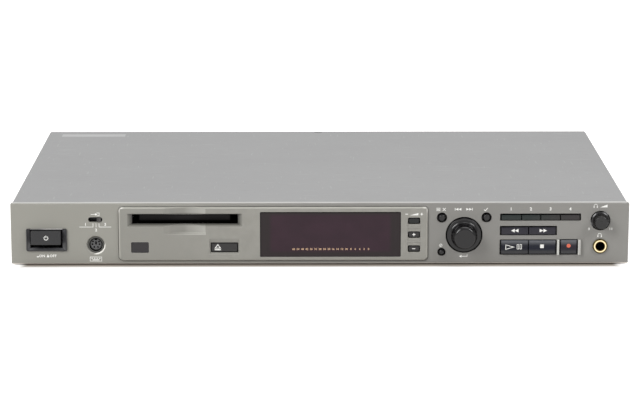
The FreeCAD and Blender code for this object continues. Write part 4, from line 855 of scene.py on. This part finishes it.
def drive_screws(material):
    """The lid's screws in place of their plain solids, and the screws of the round rear sockets."""
    sides = [((side * 214.3, y, 26.0), (side, 0, 0)) for side in (-1, 1) for y in (-90.0, 100.0)]
    backs = [((x, BACK_Y, 38.5), (0, 1, 0)) for x in (-206.0, 2.0, 206.0)]
    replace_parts(add_screws("side_screws", screw_mesh(3.0, 0.6, 1.5, 3.9), sides, material), "cover_screws")
    add_screws("rear_screws", screw_mesh(3.0, 1.2, 1.5, 3.9), backs, material)
    flange = 2.0
    flanges = [((XLR_X + XLR_STEP * i + side * 10.3, BACK_Y + flange, XLR_Z + side * 12.8), (0, 1, 0))
               for i in range(4) for side in (-1, 1)]
    add_screws("socket_screws", screw_mesh(1.7, 0.8, 0.9, 1.5), flanges, material)


# ---- Printed marks: thin closed solids that follow the surface they are printed on ----

def offset_line(points, wide, closed):
    """The two edges of a line of a given width through the points, with mitred corners."""
    count = len(points)
    sides = []
    for i, point in enumerate(points):
        here = Vector(point)
        before = Vector(points[i - 1]) if closed or i else here
        after = Vector(points[(i + 1) % count]) if closed or i < count - 1 else here
        runs = [run.normalized() for run in (here - before, after - here) if run.length > 0]
        normals = [Vector((-run.y, run.x)) for run in runs]
        middle = sum(normals, Vector((0.0, 0.0)))
        reach = middle * (wide / 2 * len(normals) / middle.dot(middle))
        sides.append((tuple(here + reach), tuple(here - reach)))
    return [side[0] for side in sides], [side[1] for side in sides]


def divided(points):
    """The same line with a point at least every half millimetre, to follow a curved surface."""
    step = 0.5
    result = []
    for start, end in zip(points, points[1:]):
        start, end = Vector(start), Vector(end)
        count = max(1, math.ceil((end - start).length / step))
        result += [tuple(start.lerp(end, i / count)) for i in range(count)]
    return result + [points[-1]]


def arc(x, z, radius, start, end, count=20):
    """Points along a circle between two angles in degrees."""
    angles = [math.radians(start + (end - start) * i / count) for i in range(count + 1)]
    return [(x + radius * math.cos(angle), z + radius * math.sin(angle)) for angle in angles]


def circle(x, z, radius):
    """Points round a whole circle."""
    return arc(x, z, radius, 0, 345, 23)


class Marks:
    """Marks of one colour on one surface, with places as (x, z).

    The side is 1 for a surface that faces the front and -1 for one that faces the back.
    A dished surface has a bow, given as the middle and half of its height and its depth.
    """

    def __init__(self, face_y, bow=None, side=1):
        self.mesh = bmesh.new()
        self.face_y = face_y
        self.bow = bow
        self.side = side

    def face(self, z):
        """The surface's y at a height."""
        if self.bow is None:
            return self.face_y
        middle, half, deep = self.bow
        return self.face_y + deep * (1.0 - ((z - middle) / half) ** 2)

    def points(self, places, behind):
        """A row of points, on the ink's front or behind the surface."""
        depth = self.side * (INK_SUNK if behind else -INK_PROUD)
        return [self.mesh.verts.new((x * MM, (self.face(z) + depth) * MM, z * MM)) for x, z in places]

    def band(self, left, right, closed=False):
        """A band between two rows of places; a closed one joins its ends."""
        rows = [self.points(left, False), self.points(right, False),
                self.points(right, True), self.points(left, True)]
        count = len(left)
        for i in range(count if closed else count - 1):
            j = (i + 1) % count
            for near, far in zip(rows, rows[1:] + rows[:1]):
                self.mesh.faces.new((near[i], near[j], far[j], far[i]))
        if not closed:
            self.mesh.faces.new([row[0] for row in rows])
            self.mesh.faces.new([row[-1] for row in reversed(rows)])

    def line(self, points, wide, closed=False):
        """A line of a given width; a closed one joins its ends."""
        left, right = offset_line(points, wide, closed)
        self.band(left, right, closed)

    def outline(self, corners, wide):
        """A closed line that follows a curved surface."""
        self.line(divided(corners + corners[:1])[:-1], wide, True)

    def filled(self, places):
        """A filled outline."""
        front, back = self.points(places, False), self.points(places, True)
        self.mesh.faces.new(front)
        self.mesh.faces.new(list(reversed(back)))
        for i in range(len(places)):
            j = (i + 1) % len(places)
            self.mesh.faces.new((front[j], front[i], back[i], back[j]))

    def block(self, left, right, low, high):
        """A filled rectangle that follows a curved surface."""
        self.band(divided([(left, low), (left, high)]), divided([(right, low), (right, high)]))

    def triangle(self, tip_x, base_x, low, high):
        """A filled triangle that points sideways."""
        self.filled([(tip_x, (low + high) / 2), (base_x, low), (base_x, high)])

    def words(self, text, x, z, high):
        """Figures or ON and OFF, centred on a place, as tall as given."""
        curve = bpy.data.curves.new("words", "FONT")
        curve.body = text
        curve.extrude = 0.5
        curve.resolution_u = 3
        curve.space_character = 1.12
        curve.offset = 0.028
        holder = add_object("words", curve)
        shown = holder.evaluated_get(bpy.context.evaluated_depsgraph_get())
        letters = bpy.data.meshes.new_from_object(shown)
        corners = [vertex.co for vertex in letters.vertices]
        low = Vector([min(corner[i] for corner in corners) for i in range(2)])
        top = Vector([max(corner[i] for corner in corners) for i in range(2)])
        scale = high / (top.y - low.y)
        middle = (low + top) / 2
        for vertex in letters.vertices:
            across = x + self.side * (vertex.co.x - middle.x) * scale
            up = z + (vertex.co.y - middle.y) * scale
            depth = self.side * (-INK_PROUD if vertex.co.z > 0 else INK_SUNK)
            vertex.co = (across * MM, (self.face(up) + depth) * MM, up * MM)
        self.mesh.from_mesh(letters)
        bpy.data.objects.remove(holder)
        bpy.data.curves.remove(curve)
        bpy.data.meshes.remove(letters)

    def print_on(self, name, body, material):
        """Make the marks an object that moves with a body."""
        bmesh.ops.remove_doubles(self.mesh, verts=self.mesh.verts[:], dist=1e-7)
        bmesh.ops.recalc_face_normals(self.mesh, faces=self.mesh.faces[:])
        add_piece(name, self.mesh, body, material, smooth=False)


def headphones(marks, x, z, size):
    """Headband and two ear cups."""
    marks.line(arc(x, z, size * 0.5, 0, 180), size * 0.14)
    for side in (-1, 1):
        cup = x + side * size * 0.5
        marks.block(cup - size * 0.14, cup + size * 0.14, z - size * 0.62, z - size * 0.08)


def plus_mark(marks, bar, stub, reach):
    """A bar, given as its ends along X and Z, with a stub of given ends above it and one below."""
    left, right, low, high = bar
    marks.block(left, right, low, high)
    marks.block(*stub, high, high + reach)
    marks.block(*stub, low - reach, low)


def skip_mark(marks, bar_x, direction, z, size):
    """A bar with two filled triangles that point at it."""
    marks.block(bar_x - 0.2, bar_x + 0.2, z - size / 2, z + size / 2)
    for i in range(2):
        tip = bar_x + direction * (0.25 + 2.05 * i)
        marks.triangle(tip, tip + direction * 2.0, z - size / 2, z + size / 2)


def port_mark(marks, x, z, inward=True):
    """An arrow that runs into an open box, or out of it."""
    wide, near, far = 0.35, x + 1.1, x + 2.9
    marks.line([(near, z + 1.0), (far, z + 1.0), (far, z - 1.0), (near, z - 1.0)], wide)
    tail, tip, head = (x - 2.9, x + 1.8, 1.8) if inward else (x + 1.2, x - 2.9, -1.8)
    marks.line([(tail, z), (tip - head, z)], wide)
    marks.triangle(tip, tip - head, z - 0.8, z + 0.8)


def print_back(white):
    """Numbers and arrows at the sockets on the back, and a wave over the mains inlet."""
    marks = Marks(BACK_Y, side=-1)
    for i in range(4):
        marks.words(str(1 + i % 2), XLR_X + XLR_STEP * i, 40.2, 2.2)
    for i in range(3):
        marks.words(str(1 + i), 26.0 + 16.0 * i, 38.6, 2.2)
    for x, z in ((-97.0, 40.2), (69.0, 30.0), (116.0, 31.0)):
        port_mark(marks, x, z)
    for x, z in ((-37.0, 40.2), (69.0, 14.0), (134.0, 31.0)):
        port_mark(marks, x, z, False)
    wave = [(-187.0 + 0.25 * i, 38.0 + 0.8 * math.sin(math.pi * i / 12)) for i in range(25)]
    marks.line(wave, 0.4)
    marks.print_on("back_marks", "chassis", white)


def mark_power(marks):
    """ON beside a pressed button and OFF beside a raised one."""
    marks.block(-197.3, -195.9, 5.7, 6.5)
    marks.words("ON", -193.7, 6.7, 1.9)
    marks.block(-190.4, -188.8, 5.7, 6.5)
    marks.block(-190.0, -189.2, 6.5, 7.6)
    marks.words("OFF", -186.0, 6.7, 1.9)


def mark_inputs(marks):
    """The input arrow, the lever's three places with their leader lines, and a small keyboard."""
    port_mark(marks, -156.3, 36.3)
    wide, top = 0.32, 29.9
    marks.line([(-167.3, 27.3), (-157.8, 27.3), (-157.8, top)], wide)
    marks.line([(-155.7, 27.0), (-155.7, top)], wide)
    marks.line([(-145.1, 27.3), (-153.6, 27.3), (-153.6, top)], wide)
    for number, x, z in (("1", -163.0, 29.2), ("2", -155.7, 25.2), ("3", -149.3, 29.2)):
        marks.words(number, x, z, 2.0)
    marks.line([(-160.2, 2.9), (-152.2, 2.9), (-152.2, 5.9), (-160.2, 5.9)], wide, True)
    for i in range(4):
        marks.block(-159.3 + 1.75 * i, -158.3 + 1.75 * i, 4.7, 5.3)
    marks.block(-158.6, -153.8, 3.5, 4.1)


def mark_dial(marks):
    """List and cross, skip, tick, a crossed circle and enter, at the dial and its three buttons."""
    for i in range(3):
        marks.block(80.9, 83.7, 38.5 + 0.85 * i, 38.85 + 0.85 * i)
    marks.line([(85.3, 38.5), (87.3, 40.5)], 0.4)
    marks.line([(85.3, 40.5), (86.15, 39.65)], 0.4)
    marks.line([(86.45, 39.35), (87.3, 38.5)], 0.4)
    skip_mark(marks, 93.9, 1, 39.6, 1.8)
    skip_mark(marks, 105.9, -1, 39.6, 1.8)
    marks.line([(114.0, 39.4), (114.9, 38.5), (116.6, 40.5)], 0.42)
    marks.line(circle(84.2, 13.9, 0.95), 0.32, True)
    marks.line([(83.65, 13.35), (84.75, 14.45)], 0.32)
    marks.line([(102.6, 7.3), (102.6, 6.0), (98.8, 6.0)], 0.36)
    marks.triangle(96.9, 98.7, 5.1, 6.9)


def mark_phones(marks):
    """Headphones at the level knob and the jack, with the knob's wedge, 0 and 10."""
    headphones(marks, 191.6, 41.9, 2.3)
    marks.filled([(194.6, 40.8), (199.8, 40.8), (199.8, 42.8)])
    marks.words("0", 187.3, 25.5, 1.8)
    marks.words("10", 202.6, 25.5, 1.8)
    headphones(marks, 194.8, 21.1, 2.4)


def print_panel(white):
    """The marks on the panel: plain numbers and generic symbols where the deck carries words."""
    marks = Marks(FACE_Y)
    mark_power(marks)
    mark_inputs(marks)
    mark_dial(marks)
    for i, x in enumerate((132.8, 146.6, 160.2, 174.0)):
        marks.words(str(1 + i), x, 39.8, 2.3)
    mark_phones(marks)
    marks.print_on("panel_marks", "chassis", white)


def print_fascia(white):
    """Minus, a wedge and plus over the speed keys."""
    marks = Marks(FASCIA_Y)
    marks.block(59.2, 61.1, 36.3, 36.75)
    marks.filled([(62.5, 35.7), (68.3, 35.7), (68.3, 37.3)])
    plus_mark(marks, (69.7, 71.6, 36.3, 36.75), (70.43, 70.87), 0.75)
    marks.print_on("fascia_marks", "chassis", white)


def print_small_keys(white):
    """The marks on the power cap and the small keys, each moving with its key."""
    marks = Marks(FACE_Y - 4.8)
    marks.line(arc(-190.2, 20.5, 1.35, 120, 420, 24), 0.42)
    marks.line([(-190.2, 20.7), (-190.2, 22.3)], 0.42)
    marks.print_on("power_mark", "power_button", white)

    marks = Marks(FACE_Y - 1.2)
    marks.line([(-73.0, 12.4), (-69.3, 12.4), (-71.15, 14.9)], 0.5, True)
    marks.block(-73.3, -69.0, 10.9, 11.6)
    marks.print_on("eject_mark", "eject_button", white)

    marks = Marks(FACE_Y - 1.1)
    plus_mark(marks, (64.2, 66.4, 21.6, 22.1), (65.05, 65.55), 0.85)
    marks.print_on("plus_mark", "speed_plus_button", white)

    marks = Marks(FACE_Y - 1.1)
    marks.block(64.1, 66.3, 11.5, 12.0)
    marks.print_on("minus_mark", "speed_minus_button", white)

    for label, left, direction in (("rewind", 133.0, 1), ("forward", 158.0, -1)):
        marks = Marks(FACE_Y - 0.6)
        for i in range(2):
            tip = left + direction * 2.6 * i
            marks.triangle(tip, tip + direction * 2.55, 23.2, 25.7)
        marks.print_on(label + "_mark", label + "_key", white)


def print_large_keys(white):
    """The marks on the play and stop keys, whose faces are dished, and on the flat record key."""
    crest, bow = FACE_Y - 1.6, (12.15, 3.85, 0.5)
    marks = Marks(crest, bow)
    marks.outline([(129.4, 11.2), (135.0, 12.8), (129.4, 14.4)], 0.42)
    for left in (137.3, 139.3):
        marks.outline([(left, 11.4), (left + 1.1, 11.4), (left + 1.1, 14.7), (left, 14.7)], 0.36)
    marks.print_on("play_mark", "play_key", white)

    marks = Marks(crest, bow)
    marks.block(153.35, 155.95, 12.1, 14.7)
    marks.print_on("stop_mark", "stop_key", white)

    marks = Marks(FACE_Y - 1.4)
    marks.filled(circle(173.2, 13.8, 1.4))
    marks.print_on("record_mark", "record_key", ink("ink_red", (0.62, 0.125, 0.070)))


def print_display():
    """The level scale's figures on the display window."""
    marks = Marks(WINDOW_Y)
    figures = (60, 54, 48, 42, 36, 32, 28, 24, 20, 16, 14, 12, 10, 8, 6, 4, 2, 0)
    for i, figure in enumerate(figures):
        marks.words(str(figure), -18.4 + 3.07 * i, 11.5, 1.35)
    marks.print_on("display_scale", "chassis", ink("ink_amber", (0.62, 0.40, 0.25)))


def print_all():
    """Every printed mark; all but the record key's and the display's are white."""
    white = ink("ink_white", (0.80, 0.80, 0.77))
    print_panel(white)
    print_fascia(white)
    print_back(white)
    print_small_keys(white)
    print_large_keys(white)
    print_display()


make_camera()
make_world()
make_floor()
add_lamp("softbox_left", (-1.5, -1.5, 1.35), 0.9, 1.4, 45.0)
add_lamp("softbox_above", (0.4, 0.3, 2.0), 2.0, 1.6, 19.0)
add_lamp("softbox_right", (1.5, -1.1, 1.3), 0.55, 0.9, 19.0)
finishes = dress_nodes()
turn_dial(finishes["jog_dial"].material)
drive_screws(finishes["cover_screws"].material)
print_all()

bpy.context.scene.view_settings.view_transform = "Standard"
